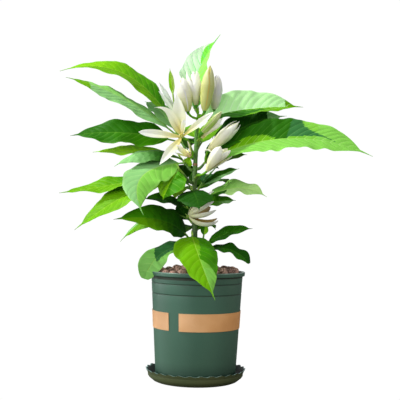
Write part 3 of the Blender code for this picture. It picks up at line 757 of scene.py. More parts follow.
def noise_node(tree, scale, detail=3, stretch=None):
    """Noise over the piece's own coordinates in metres."""
    where = node(tree, "ShaderNodeTexCoord", {}, "Object")
    if stretch:
        where = node(tree, "ShaderNodeMapping", {"Vector": where, "Scale": stretch}, "Vector")
    return node(tree, "ShaderNodeTexNoise", {"Vector": where, "Scale": scale, "Detail": detail}, "Fac")


def bump(tree, shader, height, strength, distance):
    """Surface relief from a height."""
    inputs = {"Height": height, "Strength": strength, "Distance": distance}
    tree.links.new(node(tree, "ShaderNodeBump", inputs, "Normal"), shader.inputs["Normal"])


def painted(tree, shader, tone, height, strength, distance):
    """Links a tone to a shader's base colour, and a relief."""
    tree.links.new(tone, shader.inputs["Base Color"])
    bump(tree, shader, height, strength, distance)


def ramp(tree, value, stops):
    """Colours between places on a value; the colours are sRGB."""
    made = tree.nodes.new("ShaderNodeValToRGB")
    band = made.color_ramp
    while len(band.elements) < len(stops):
        band.elements.new(0.5)
    for element, (place, colour) in zip(band.elements, stops):
        element.position = place
        element.color = (*(linear(c) for c in colour), 1)
    tree.links.new(value, made.inputs["Fac"])
    return made.outputs["Color"]


def spread(tree, value, low, high, start=0.3, end=0.7):
    """Value between start and end turned into the range low to high."""
    inputs = {"Value": value, "From Min": start, "From Max": end, "To Min": low, "To Max": high}
    return node(tree, "ShaderNodeMapRange", inputs, "Result")


MADE = {}

# Roughness, strength and scale of the relief, and gloss
LOOKS = {
    "blade": (0.48, 0.5, 260, 0.06),
    "vein": (0.5, 0.4, 300, 0.06),
    "under": (0.6, 0.3, 300, 0.1),
    "petal": (0.5, 0.35, 200, 0.3),
    "stalk": (0.5, 0.5, 300, 0.3),
}
PETAL_GLOW = 0.5
PETAL_DEPTH = (4 * MM, 4 * MM, 3 * MM)


def living(kind, tint, other=None, share=0.0, toward=None, pull=0.0):
    """Finish of leaf, petal or stalk in a tint, or part of the way to another, pulled toward a third."""
    steps = PETAL_STEPS if kind == "petal" else TINT_STEPS
    step = round(share * steps)
    if other is None or step == 0:
        other = tint
    if other == tint:
        step = 0
    name = f"{kind}_{tint}" if not step else f"{kind}_{tint}_{other}_{step}"
    if toward:
        name += f"_{toward}_{round(100 * pull)}"
    if name in MADE:
        return MADE[name]
    colour = mixed(TINTS[tint], TINTS[other], step / steps)
    if toward:
        colour = mixed(colour, TINTS[toward], pull)
    roughness, relief, scale, gloss = LOOKS[kind]
    made, tree, shader = new_finish(name, colour, roughness, gloss)
    grain = noise_node(tree, scale)
    uneven = spread(tree, grain, roughness - 0.06, roughness + 0.08)
    tree.links.new(uneven, shader.inputs["Roughness"])
    bump(tree, shader, grain, relief, LIVING_RELIEF)
    if kind == "petal":
        shader.inputs["Subsurface Weight"].default_value = PETAL_GLOW
        shader.inputs["Subsurface Radius"].default_value = PETAL_DEPTH
        shader.inputs["Subsurface Scale"].default_value = 1
    MADE[name] = made
    return made


def limb_faces(count, sides):
    """Faces round a limb of count rings of vertices, and over its two ends."""
    faces = []
    for i in range(count - 1):
        a, b = i * sides, (i + 1) * sides
        for k in range(sides):
            n = (k + 1) % sides
            faces.append((a + k, a + n, b + n, b + k))
    last = (count - 1) * sides
    faces.append(tuple(range(sides - 1, -1, -1)))
    faces.append(tuple(range(last, last + sides)))
    return faces


def cell_faces(count, width):
    """Faces between neighbours in count rows of vertices."""
    starts = [i * width + k for i in range(count - 1) for k in range(width - 1)]
    return [(a, a + 1, a + width + 1, a + width) for a in starts]


def tube(points, radii, sides=10):
    """Vertices and faces of a round limb through points, closed at both ends."""
    verts = []
    side = None
    for i, (point, radius) in enumerate(zip(points, radii)):
        ahead = (points[min(i + 1, len(points) - 1)] - points[max(i - 1, 0)]).normalized()
        side = side - ahead * side.dot(ahead) if side else ahead.orthogonal()
        side.normalize()
        across = ahead.cross(side)
        for k in range(sides):
            turn = 2 * math.pi * k / sides
            verts.append(point + (side * math.cos(turn) + across * math.sin(turn)) * radius)
    return verts, limb_faces(len(points), sides)


def spindle(base, axis, length, radius, sides=12, rings=12):
    """Vertices and faces of a pointed bud."""
    points = [base + axis * length * t for t in shares(rings)]
    power = math.log(0.5) / math.log(SPINDLE_FULL)
    places = [SPINDLE_END + (1 - SPINDLE_END) * t ** power for t in shares(rings)]
    radii = [radius * max(SPINDLE_END, math.sin(math.pi * place)) for place in places]
    return tube(points, radii, sides)


class LeafShape:
    """Where the points of one leaf's blade lie, by the source's rule, with veins and finer waves."""

    def __init__(self, leaf, root, seed):
        self.leaf, self.root, self.seed = leaf, root, seed
        self.tip = tip_of(leaf, root)
        beside = UP.cross(level(leaf.bearing))
        pull = UP * 2 * leaf.arch * MM + beside * 2 * leaf.bow * MM
        self.bend = root + (self.tip - root) * leaf.lead + pull
        self.length = (self.tip - root).length

    def half(self, b):
        """Half the blade's width at a share b of its length."""
        leaf = self.leaf
        share = blade_share(b, leaf.belly)
        if leaf.blunt and b > 0.5:
            share = max(share, 0.98 * max(0.0, 1 - abs(2 * b - 1.04) ** 3) ** 0.62)
        return max(leaf.width / 2 * MM * share, PETIOLE_R * (1 - 0.8 * b))

    def middle(self, b):
        """Point on the midrib."""
        return between(self.root, self.bend, self.tip, self.leaf.stalk + (1 - self.leaf.stalk) * b)

    def point(self, b, s, quilt):
        """Point at b along and s across the blade, and the way that its upper side faces."""
        leaf = self.leaf
        direction = slope(self.root, self.bend, self.tip, leaf.stalk + (1 - leaf.stalk) * b)
        side, up = leaf_axes(direction, leaf.roll + leaf.twist * b)
        half = self.half(b)
        fold = math.radians(leaf.fold) * min(1.0, b * 6)
        reach = abs(s)
        sign = 1 if s >= 0 else -1
        # The fold, the source's waves and finer ones, all fading out toward the foot
        place = b * self.length / RIPPLE_LENGTH
        ripple = leaf.wave * min(1.0, b * 4) * math.sin(2 * math.pi * (WAVES * b + 0.2 * sign))
        fine = FINE_WAVE * min(1.0, b * 5) * noise.noise(Vector((place, s * 1.6, self.seed)))
        lift = half * (math.sin(fold) * reach ** 1.15 + ripple * reach ** 1.8 + fine * (0.3 + reach ** 2))
        # The blade swells between veins, less where it is narrow, and its margin is uneven
        swell = math.sin(math.pi * min(1.0, reach * 1.02)) ** 0.6 * min(1.0, half / QUILT_HALF)
        rough = EDGE_NOISE * noise.noise(Vector((place * 0.75, sign * 7.0, self.seed)))
        out = side * s * half * (1 + rough * reach ** 2) * math.cos(fold)
        return self.middle(b) + out + up * (lift + QUILT * quilt * swell), up


def columns_of(leaf):
    """Places across half a blade where its faces meet, closer together where a patch needs a clean edge."""
    if not leaf.patches:
        return COLUMNS
    edges = (0.06,) + COLUMNS
    middles = tuple((a + b) / 2 for a, b in zip(edges, edges[1:]))
    return tuple(sorted(COLUMNS + middles))


def vein_lines(length, steps):
    """Lines across a blade from base to tip: (place at the midrib, share between veins, is a vein)."""
    pairs = max(5, round(length / VEIN_SPACING))
    width = VEIN_WIDTH / length
    lines = [(0.0, 0.0, False), (0.25 / pairs, 0.3, False)]
    for k in range(pairs):
        here = (k + 0.55) / (pairs + 0.5)
        after = min(1.0, (k + 1.55) / (pairs + 0.5))
        lines.append((here, 0.0, True))
        for step in range(steps):
            share = step / steps
            lines.append((here + width + (after - here - width) * share, share, False))
    lines.append((1.0, 0.0, False))
    return [line for line in lines if line[0] <= 1.0]


def line_place(place, s):
    """Share of the blade's length that a line reaches at s across: it runs forward to the margin."""
    ease = min(1.0, place / 0.12) * min(1.0, (1 - place) / 0.4)
    return min(1.0, place + VEIN_SHEAR * ease * abs(s) ** 1.2)


def inside(corners, b, s):
    """Whether a place on a blade lies within a patch's corners."""
    found = False
    for (b0, s0), (b1, s1) in zip(corners, corners[1:] + corners[:1]):
        if (s0 > s) != (s1 > s) and b < b0 + (b1 - b0) * (s - s0) / (s1 - s0):
            found = not found
    return found


def leaf_tint(leaf, patches, b, s):
    """Tint at a place on a blade, as two tints and the share between them."""
    for tint, *corners in patches:
        if inside(corners, b, s):
            return tint, tint, 0.0
    tints = leaf.tints.split()
    first = 0 if s > 0 else 2
    base, end = (tints[k * len(tints) // 4] for k in (first, first + 1))
    return base, end, min(1.0, max(0.0, (b - FADE_START) / FADE_LENGTH))


def upper_finish(leaf, b, s, ring, edge, vein):
    """Finish at a place on a blade's upper side: midrib, vein, margin or the blade between them."""
    tint = leaf_tint(leaf, leaf.patches, b, s)
    toward = leaf.veins
    if ring == 0 and b < RIB_END:
        toward = "rib" if leaf.veins == "vein" else leaf.veins
        pull = RIB_PULL
    elif vein and edge < VEIN_END:
        pull = VEIN_PULL[leaf.veins]
    elif edge > MARGIN_START:
        pull = MARGIN_PULL
    else:
        return living("blade", *tint)
    return living("vein", *tint, toward, pull * DARK_PULL.get(tint[0], 1.0))


def add_leaf(blades, stalks, leaf, root, seed):
    """One leaf: its stalk, and a blade with sunken veins over a paler, keeled underside."""
    shape = LeafShape(leaf, root, seed)
    length = shape.length * (1 - leaf.stalk)
    lines = vein_lines(length, PATCH_STEPS if leaf.patches else VEIN_STEPS)
    columns = columns_of(leaf)
    middle = len(columns) + 1
    top, low = [], []
    for place, share, vein in lines:
        rib = MIDRIB_WIDTH / 2 * (1 - 0.7 * place) / max(shape.half(place), 1 * MM)
        half = (0.0, min(WIDEST_RIB, rib)) + columns
        for j in range(-middle, middle + 1):
            s = math.copysign(half[abs(j)], j)
            b = line_place(place, s)
            if not vein and share == 0.0 and 0 < place < 1:
                b -= VEIN_WIDTH / length * 0.7 * abs(s)
            spot, up = shape.point(b, s, math.sin(math.pi * share) if share else 0.0)
            ease = min(1.0, 8 * b) * (1 - 0.8 * b)
            thick = 0 if abs(j) == middle else SHEET_THICK / 2
            top.append(spot + up * (thick - (RIB_SINK * ease if j == 0 else 0)))
            low.append(spot - up * (thick + KEEL * ease * KEEL_SHARES.get(abs(j), 0)))
    edges = (0.0,) + columns
    faces = cell_faces(len(lines), 2 * middle + 1)
    finishes, backs = [], []
    for n in range(len(faces)):
        i, k = divmod(n, 2 * middle)
        ring = k - middle if k >= middle else middle - 1 - k
        s = 0.05 if ring == 0 else (edges[ring - 1] + edges[ring]) / 2
        s = math.copysign(s, k - middle + 0.5)
        b = line_place((lines[i][0] + lines[i + 1][0]) / 2, s)
        finishes.append(upper_finish(leaf, b, s, ring, edges[ring], lines[i][2]))
        base, end, _ = leaf_tint(leaf, (), b, s)
        backs.append(living("under", base, end, 1.0 if b > 0.5 else 0.0, "under", UNDER_PULL))
    blades.add(top, [face[::-1] for face in faces], finishes)
    blades.add(low, faces, backs)
    _, up = leaf_axes(slope(root, shape.bend, shape.tip, 0), leaf.roll)
    reach = leaf.stalk + STALK_LAP
    ways = shares(STALK_STEPS)
    points = [between(root, shape.bend, shape.tip, reach * t) - up * STALK_DROP * t for t in ways]
    radii = [PETIOLE_R * (1.35 - 0.35 * min(1, 3 * t)) for t in ways]
    radii[-1] *= 0.6
    stalks.add(*tube(points, radii), living("stalk", "stalk", leaf.tints.split()[0], 0.4))


def sheet(pile, rows, across, thick, front, back):
    """A thin sheet of two layers that meet at its sides, through rows of points and the ways they face."""
    width = len(rows[0])
    near, far = [], []
    for row, normals in zip(rows, across):
        for k, (point, normal) in enumerate(zip(row, normals)):
            half = 0 if k in (0, width - 1) else thick / 2
            near.append(point + normal * half)
            far.append(point - normal * half)
    faces = cell_faces(len(rows), width)
    pile.add(near, faces, front)
    pile.add(far, [face[::-1] for face in faces], back)


def petal_tint(tints, t):
    """Petal finish at t from foot to tip, from tints that run from tip to foot."""
    tip, middle, foot = tints.split()
    if t < PETAL_MIDDLE:
        return living("petal", foot, middle, t / PETAL_MIDDLE)
    return living("petal", middle, tip, min(1.0, (t - PETAL_MIDDLE) / PETAL_FADE))


def petal_side(tints, margin, stations, columns):
    """Finishes of one side of a petal from foot to tip, with the margins in a tint of their own if given."""
    finishes = []
    for t in shares(stations)[:-1]:
        inner = petal_tint(tints, t)
        outer = living("petal", margin) if margin else inner
        finishes += [outer] + [inner] * (columns - 2) + [outer]
    return finishes


def add_tepal(pile, tepal, base, axis, first, flower):
    """One tepal of an open flower: a cupped blade, narrow at its foot, creased down its middle."""
    stations, columns = 20, 10
    spot = base + turned_way(first, tepal.turn, axis) * TEPAL_RING_R
    power = math.log(0.5) / math.log(tepal.full)
    rows, normals = [], []
    for t in shares(stations):
        late = max(0.0, (t - CURL_START) / (1 - CURL_START))
        across = turned_way(first, tepal.turn + tepal.swing * late ** 1.2, axis)
        beside = axis.cross(across).normalized()
        angle = math.radians(tepal.spread + tepal.sweep * (t - 0.5) + tepal.curl * late ** 1.3)
        direction = axis * math.cos(angle) + across * math.sin(angle)
        outward = beside.cross(direction).normalized()
        half = tepal.width / 2 * MM * math.sin(math.pi * min(1.0, 0.04 + 0.96 * t ** power)) ** tepal.point
        half = max(half, TEPAL_FOOT * (1 - t) + TEPAL_TIP)
        row, facing = [], []
        for share in shares(columns):
            s = 2 * share - 1
            wave = PETAL_WAVE * math.sin(7 * t + 3 * s + tepal.turn) * abs(s)
            crease = PETAL_CREASE * max(0.0, 1 - abs(s) * 3)
            lift = tepal.cup * half * (1 - s * s) + crease + wave
            row.append(spot + beside * s * half + outward * lift)
            facing.append((outward + beside * s * tepal.cup).normalized())
        rows.append(row)
        normals.append(facing)
        spot = spot + direction * tepal.length * MM / stations
    outer = petal_side(flower.tints, "", stations, columns)
    inner = petal_side(flower.inside, flower.margin, stations, columns)
    sheet(pile, rows, normals, TEPAL_THICK, outer, inner)


BUD_PROFILE = (
    (0, 0.26), (0.07, 0.53), (0.21, 0.79), (0.44, 0.95), (0.58, 1.0), (0.8, 0.7), (0.91, 0.44), (1, 0.04),
)


def bud_profile(t):
    """A bud's radius at t from foot to tip, as a share of its widest."""
    for (t0, r0), (t1, r1) in zip(BUD_PROFILE, BUD_PROFILE[1:]):
        if t <= t1:
            share = (t - t0) / (t1 - t0)
            return r0 + (r1 - r0) * share
    return BUD_PROFILE[-1][1]


def add_bud(pile, stalks, flower, base, axis, seed):
    """A bud: tepals wrapped round a core, each lapping over the next, parting at the tip where it opens."""
    length, radius = flower.length * MM, flower.width / 2 * MM
    first = axis.orthogonal().normalized()
    core = [base + axis * length * CORE_LENGTH * t for t in shares(16)]
    radii = [radius * CORE_WIDTH * max(0.04, bud_profile(t)) for t in shares(16)]
    pile.add(*tube(core, radii, 14), petal_tint(flower.tints, 0.5))
    chance = random.Random(seed)
    stations, columns = 18, 12
    for n in range(flower.wraps):
        middle = 2 * math.pi * (n + 0.3) / flower.wraps + chance.uniform(-0.25, 0.25)
        reach = length * chance.uniform(0.93, 1.0)
        part = math.radians(flower.open) * chance.uniform(0.6, 1.3)
        rows, normals = [], []
        lean = Matrix.Rotation(middle, 3, axis) @ first
        for t in shares(stations):
            wide = WRAP_TURN / flower.wraps * (1 - 0.6 * max(0.0, (t - 0.6) / 0.4) ** 1.5)
            r = radius * max(0.05, bud_profile(t))
            row, facing = [], []
            for share in shares(columns):
                s = 2 * share - 1
                out = Matrix.Rotation(middle + s * wide, 3, axis) @ first
                spot = base + axis * reach * t + out * (r * (0.96 + 0.05 * s) + 0.2 * MM)
                row.append(spot + lean * math.sin(part) * reach * t * t)
                facing.append(out)
            rows.append(row)
            normals.append(facing)
        side = petal_side(flower.tints, flower.margin, stations, columns)
        sheet(pile, rows, normals, WRAP_THICK, side, side)
    cup = [base + axis * d * MM for d in (-4, -2.5, -1, 1, 3)]
    stalks.add(*tube(cup, [r * MM for r in (1.6, 2.1, 2.4, 2.8, 3.0)], 12), living("stalk", "grass"))


def add_flower(petals, stalks, flower, root, seed):
    """A flower on its stalk, open or in bud."""
    base, axis = flower_axis(flower, root)
    bend = base - axis * (base - root).length * 0.45
    points = [between(root, bend, base + axis * 1 * MM, t) for t in shares(8)]
    radii = [r * MM for r in FLOWER_STALK_RADII]
    stalks.add(*tube(points, radii), living("stalk", "leafy"))
    if not flower.tepals:
        add_bud(petals, stalks, flower, base, axis, seed)
        return
    first = (UP - axis * UP.dot(axis)).normalized()
    for i, tepal in enumerate(flower.tepals):
        add_tepal(petals, tepal, base + axis * 0.7 * MM * (i % 3), axis, first, flower)
    petals.add(*spindle(base, axis, 8 * MM, 1.8 * MM), living("petal", "olive"))
    chance = random.Random(seed)
    for i in range(STAMENS):
        out = turned_way(first, i * GOLDEN_ANGLE, axis)
        start = base + axis * 1.5 * MM + out * 1.2 * MM
        end = start + (axis * 1.2 + out * chance.uniform(0.4, 0.7)).normalized() * STAMEN_LENGTH
        shape = tube([start, (start + end) / 2, end], [0.3 * MM, 0.4 * MM, 0.2 * MM], 5)
        petals.add(*shape, living("petal", "gold", "olive", chance.random()))


def turned(profile, sides):
    """Vertices and faces of a body turned about Z from a profile that starts and ends on the axis."""
    verts, faces = [], []
    starts = []
    for r, z in profile:
        starts.append(len(verts))
        if r == 0:
            verts.append(Vector((0, 0, z)))
        else:
            for k in range(sides):
                turn = 2 * math.pi * k / sides
                verts.append(Vector((r * math.cos(turn), r * math.sin(turn), z)))
    for i in range(len(profile) - 1):
        a, b = starts[i], starts[i + 1]
        one, other = profile[i][0] == 0, profile[i + 1][0] == 0
        for k in range(sides):
            n = (k + 1) % sides
            if one:
                faces.append((a, b + k, b + n))
            elif other:
                faces.append((a + k, b, a + n))
            else:
                faces.append((a + k, b + k, b + n, a + n))
    return verts, faces


def arc(middle, radius, first, last, steps=5):
    """Profile points of a rounded corner, by angle in degrees."""
    out = []
    for t in shares(steps):
        angle = math.radians(first + (last - first) * t)
        out.append((middle[0] + radius * math.cos(angle), middle[1] + radius * math.sin(angle)))
    return out


def pot_radius(z):
    """Outer radius of the pot's wall at height z."""
    share = (z - POT_FOOT_Z) / (POT_TOP_Z - POT_FOOT_Z)
    return POT_FOOT_R + (POT_NECK_R - POT_FOOT_R) * share


def place_share(tree, axis, low, high):
    """Share of the way from low to high along one of the piece's own axes."""
    where = node(tree, "ShaderNodeTexCoord", {}, "Object")
    return spread(tree, node(tree, "ShaderNodeSeparateXYZ", {"Vector": where}, axis), 0, 1, low, high)


def blended(tree, kind, factor, one, other):
    """Two colours blended in a given way."""
    mix = tree.nodes.new("ShaderNodeMix")
    mix.data_type = "RGBA"
    mix.blend_type = kind
    mix.inputs["Factor"].default_value = factor
    tree.links.new(one, mix.inputs["A"])
    tree.links.new(other, mix.inputs["B"])
    return mix.outputs["Result"]


def plastic(name, colour, warm, roughness, foot=None):
    """Moulded plastic: faint flow marks and fine grain, and a foot darker by a tone, as painted shade, where
    one is given.
    """
    made, tree, shader = new_finish(name, colour, roughness, 0.35)
    flow = noise_node(tree, 9, 4, (1, 1, 0.35))
    dark, light = mixed(colour, (0, 0, 0), 0.07), mixed(colour, warm, 0.25)
    tone = ramp(tree, flow, [(0.3, dark), (0.5, colour), (0.72, light)])
    # Painted shade: the wall darkens toward its foot, where the saucer shades it.
    if foot:
        height = place_share(tree, "Z", 0, 0.5 * POT_TOP_Z)
        rise = ramp(tree, height, [(0.08, foot), (0.4, (235, 235, 232)), (1, (255, 255, 255))])
        tone = blended(tree, "MULTIPLY", 1, tone, rise)
    tree.links.new(spread(tree, flow, roughness - 0.07, roughness + 0.09), shader.inputs["Roughness"])
    painted(tree, shader, tone, noise_node(tree, 900, 2), 0.25, 0.12 * MM)
    return made


def make_pot():
    """Pot with rounded lip and moulded grooves; its drain holes, hidden on the saucer, are left out."""
    pile = Pile("pot_shell")
    # The last colour darkens the pot toward its foot as painted shade.
    green = plastic("pot_green", (60, 97, 80), (80, 110, 84), 0.48, (150, 158, 158))
    # Painted shade: a dark band under the lip, deeper at the front left.
    shade = plastic("pot_shade", (38, 50, 38), (56, 52, 38), 0.6)
    # Painted shade: the grooves take a darker finish.
    groove_shade = plastic("pot_groove_shade", (44, 70, 56), (58, 78, 58), 0.55)
    # Painted highlight: a pale ring on the lip's top stands for light on its edge.
    lip_highlight = plastic("pot_lip_highlight", (150, 174, 164), (170, 180, 160), 0.35)
    top, lip, under_lip = POT_TOP_Z, POT_NECK_R + LIP_OUT, POT_TOP_Z - LIP_HEIGHT
    floor, foot_in, neck_in = POT_FOOT_Z + POT_FLOOR, POT_FOOT_R - POT_WALL, POT_NECK_R - POT_WALL
    profile = [(0, floor), (foot_in - 2 * MM, floor), (foot_in, floor + 2 * MM), (neck_in, top - 3 * MM)]
    profile += arc((neck_in + 1 * MM, top - 1 * MM), 1 * MM, 180, 90)
    profile += arc((lip - 1 * MM, top - 1 * MM), 1 * MM, 90, 0)
    profile += arc((lip - 1.1 * MM, under_lip + 0.7 * MM), 0.7 * MM, 0, -90, 4)
    profile += [(pot_radius(under_lip) + 0.5 * MM, under_lip)]
    for drop in (0.6, 2.0, SHADE_DROP):
        profile.append((pot_radius(under_lip - drop * MM), under_lip - drop * MM))
    for z in GROOVE_HEIGHTS:
        for rise, depth in GROOVE_SECTION:
            profile.append((pot_radius(z + rise * MM) - GROOVE_DEPTH * depth, z + rise * MM))
    profile += [(pot_radius(z * MM), z * MM) for z in POT_WALL_HEIGHTS]
    profile += arc((POT_FOOT_R - 1.4 * MM, POT_FOOT_Z + 1.5 * MM), 1.5 * MM, 0, -90)
    profile += [(0, POT_FOOT_Z)]
    verts, faces = turned(profile, POT_SIDES)
    finishes = []
    for face in faces:
        middle = sum((verts[i] for i in face), Vector()) / len(face)
        below = (under_lip - middle.z) / MM
        # The band of painted shade under the lip is deeper at the front left.
        deep = SHADE_DROP if middle.y < 0 and middle.x < 0.4 * lip else 2
        outside = middle.xy.length > pot_radius(middle.z) - 1 * MM
        # The lip's top takes the painted highlight.
        if middle.z > top - 0.35 * MM:
            finishes.append(lip_highlight)
        elif outside and 0 < below < deep:
            finishes.append(shade)
        elif outside and any(abs(middle.z - z) < 0.7 * MM for z in GROOVE_HEIGHTS):
            finishes.append(groove_shade)
        else:
            finishes.append(green)
    pile.add(verts, faces, finishes)
    pile.made("green_plastic", "pot", sharp=50)


def make_saucer():
    """Dish with a flaring rim pressed into scallops, and a moulded line below them."""
    pile = Pile("saucer_dish")
    # The olive outside is partly the saucer's own green and partly a painted warm bounce.
    olive = plastic("saucer_olive", (71, 82, 50), (110, 94, 54), 0.45)
    # Painted shade: the saucer's inside is dark as in shadow.
    dark = plastic("saucer_inside_shade", (28, 52, 48), (40, 62, 52), 0.45)
    # Painted highlight: the rim's top is pale as if catching the light.
    pale = plastic("saucer_edge_highlight", (120, 150, 146), (140, 150, 130), 0.4)
    top, rim, inside_rim = SAUCER_HEIGHT, SAUCER_RIM_R, SAUCER_RIM_R - SAUCER_WALL
    outer = [(rim - inset * MM, top - drop * MM) for inset, drop in SAUCER_LIP]
    outer += [(rim - inset * MM, share * top) for inset, share in SAUCER_FLANK]
    outer += [(SAUCER_FOOT_R, 0), (0, 0)]
    inner = [
        (0, SAUCER_FLOOR), (SAUCER_FOOT_R - 1 * MM, SAUCER_FLOOR), (rim - 9 * MM, SAUCER_FLOOR + 2.4 * MM),
        (inside_rim - 3 * MM, 0.5 * top), (inside_rim - 1.4 * MM, top - 2.6 * MM),
        (inside_rim + 0.4 * MM, top),
    ]
    sides = 12 * SCALLOPS
    verts, faces = turned(inner + outer, sides)
    for vert in verts:
        reach = vert.xy.length
        share = max(0.0, (vert.z - (top - SCALLOP_HEIGHT)) / SCALLOP_HEIGHT)
        if share and reach > SAUCER_FOOT_R:
            wave = math.cos(SCALLOPS * math.atan2(vert.y, vert.x))
            push = 1 + wave * 0.6 * MM / reach * share
            vert.z += (wave - 1) * SCALLOP_DEPTH / 2 * share
            vert.x *= push
            vert.y *= push
    # Rings: the inside in painted shade, the rim's top a painted highlight, the outside olive.
    rings = [dark] * (len(inner) - 1) + [pale] + [olive] * (len(outer) - 1)
    pile.add(verts, faces, [ring for ring in rings for _ in range(sides)])
    pile.made("green_plastic", "saucer", sharp=50)


def make_strip():
    """Paper strip round the pot, a hair thick."""
    pile = Pile("paper_strip")
    made, tree, shader = new_finish("kraft_paper", (206, 158, 110), 0.62)
    cloud = noise_node(tree, 22, 4)
    tone = ramp(tree, cloud, [(0.3, (214, 160, 108)), (0.5, (226, 174, 122)), (0.7, (236, 188, 140))])
    # Painted light: the strip is greyer and cooler on the left, where the light falls, and warmer and more
    # saturated toward the right, in shade.
    round_it = place_share(tree, "X", -POT_NECK_R, POT_NECK_R)
    painted_light = ramp(tree, round_it, [(0.0, (232, 232, 238)), (0.55, (244, 236, 222)), (0.9, (255, 238, 206))])
    tone = blended(tree, "MULTIPLY", 1, tone, painted_light)
    painted(tree, shader, tone, noise_node(tree, 700, 3, (1, 1, 3)), 0.3, 0.1 * MM)
    start = math.radians(STRIP_GAP_CENTRE + STRIP_GAP_WIDTH / 2)
    sweep = math.radians(360 - STRIP_GAP_WIDTH)
    steps = 176
    verts = []
    for t in shares(steps):
        turn = start + sweep * t
        for z, out in (
            (STRIP_HIGH_Z, GAP), (STRIP_HIGH_Z, GAP + STRIP_THICK),
            (STRIP_LOW_Z, GAP + STRIP_THICK), (STRIP_LOW_Z, GAP),
        ):
            r = pot_radius(z) + out
            verts.append(Vector((r * math.cos(turn), r * math.sin(turn), z)))
    pile.add(verts, limb_faces(steps + 1, 4), made)
    pile.made("kraft_strip", "strip", sharp=40)


def bed_height(reach):
    """Height of the pebbles' mound at a distance from the pot's middle."""
    share = min(1.0, reach / POT_NECK_R)
    return BED_MIDDLE_Z + (BED_EDGE_Z - BED_MIDDLE_Z) * share * share


def scatter(chance, tries, sizes, clear, spacing, height):
    """Seeded scatter of pebbles in the pot that keep clear of the trunk and of each other."""
    inner = pot_radius(BED_EDGE_Z) - POT_WALL
    foot = trunk_axis(TRUNK_FOOT_Z)
    places = []
    for _ in range(tries):
        size = PEBBLE_R * chance.uniform(*sizes)
        reach = (inner - size - 2 * GAP) * math.sqrt(chance.random())
        spot = level(math.degrees(chance.uniform(0, 2 * math.pi))) * reach
        if (spot.xy - foot.xy).length < clear + size:
            continue
        if any((spot - other).xy.length < spacing * (size + r) for other, r, _ in places):
            continue
        spot.z = height(spot, size)
        places.append((spot, size, chance.uniform(0, math.pi)))
    return places


def pebble_places():
    """The source's pebbles, on a mound that rises to the right, then smaller ones in the gaps below."""
    chance = random.Random(PEBBLE_SEED)

    def on_mound(spot, size):
        tilt = MOUND_TILT * max(0, spot.x)
        return bed_height(spot.xy.length) + tilt + chance.uniform(*PEBBLE_LIFT) * size

    def below(spot, _):
        return bed_height(spot.xy.length) - LOWER_DROP * PEBBLE_R

    upper = scatter(chance, PEBBLE_TRIES, PEBBLE_SIZES, BED_HOLE_R + GAP, PEBBLE_SPACING, on_mound)
    return upper + scatter(chance, 2 * PEBBLE_TRIES, LOWER_SIZES, TRUNK_FOOT_R, LOWER_SPACING, below)


def clay(name, colour):
    """Fired clay: rough skin with darker pits."""
    made, tree, shader = new_finish(name, colour, 0.85)
    grain = noise_node(tree, 420, 5)
    pit, dust = mixed(colour, (30, 18, 14), 0.5), mixed(colour, (214, 188, 172), 0.35)
    tone = ramp(tree, grain, [(0.36, pit), (0.5, colour), (0.66, dust)])
    painted(tree, shader, tone, grain, 0.7, 0.8 * MM)
    return made


def make_pebbles():
    """Clay pebbles, each its own lumpy ball, heaped to the pot's rim."""
    pile = Pile("clay_pebbles")
    clays = [
        clay("clay_light", (206, 168, 150)), clay("clay_mid", (178, 142, 124)),
        clay("clay_dark", (134, 104, 92)), clay("clay_rosy", (192, 148, 132)),
    ]
    chance = random.Random(PEBBLE_SEED + 1)
    for n, (spot, size, turn) in enumerate(pebble_places()):
        bm = bmesh.new()
        bmesh.ops.create_icosphere(bm, subdivisions=3, radius=size)
        bmesh.ops.scale(bm, verts=bm.verts, vec=PEBBLE_SHAPE)
        bmesh.ops.rotate(bm, verts=bm.verts, matrix=Matrix.Rotation(turn, 3, "Z"))
        for vert in bm.verts:
            lump = noise.noise(vert.co / LUMP_LENGTH + Vector((n, 2 * n, 0)))
            vert.co *= 1 + LUMP_SHARE * lump
        verts = [vert.co + spot for vert in bm.verts]
        faces = [tuple(v.index for v in face.verts) for face in bm.faces]
        bm.free()
        pile.add(verts, faces, clays[chance.choice((0, 1, 1, 2, 3))])
    pile.made("fired_clay", "pebbles")


def make_soil():
    """Potting mix: the CAD solid takes a dark, crumbly finish."""
    made, tree, shader = new_finish("potting_mix_dark", (52, 40, 30), 0.95)
    grain = noise_node(tree, 300, 6)
    tone = ramp(tree, grain, [(0.35, (24, 17, 12)), (0.55, (58, 44, 32)), (0.75, (96, 76, 54))])
    painted(tree, shader, tone, grain, 1.0, 2 * MM)
    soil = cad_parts["soil"]
    soil.data.materials.clear()
    soil.data.materials.append(made)


NODE_RINGS = (168, 181, 194, 207, 221, 237, 252, 264, 278, 290, 302, 314, 327, 340, 350)
SCAR_RING = 302
SCAR_FACING = math.radians(250)
RING_TILT = 0.8
GOLDEN_TURN = 2.4
RING_SWELL = 0.2 * MM
SCAR_SWELL = 0.34 * MM
BARK_LUMP = 0.16 * MM
RIDGE = 0.1 * MM
RIDGES = 7
RING_HALF = 1.6
BARK_TONES = (
    (0.0, (84, 86, 56)), (0.25, (58, 90, 40)), (0.6, (84, 118, 46)), (0.8, (84, 134, 48)),
    (1.0, (92, 152, 54)),
)


def bark_radius(z, turn):
    """Radius of the trunk's skin, with rings where leaves once stood, fine lumps and shallow ridges."""
    r = trunk_radius(z)
    for n, ring in enumerate(NODE_RINGS):
        near = (z / MM - ring - RING_TILT * math.sin(turn + GOLDEN_TURN * n)) / RING_HALF
        r += (SCAR_SWELL if ring == SCAR_RING else RING_SWELL) * math.exp(-near * near)
    r += BARK_LUMP * noise.noise(Vector((math.cos(turn) * 4, math.sin(turn) * 4, z / (14 * MM))))
    return r + RIDGE * math.sin(RIDGES * turn + 2 * math.sin(z / (30 * MM)))


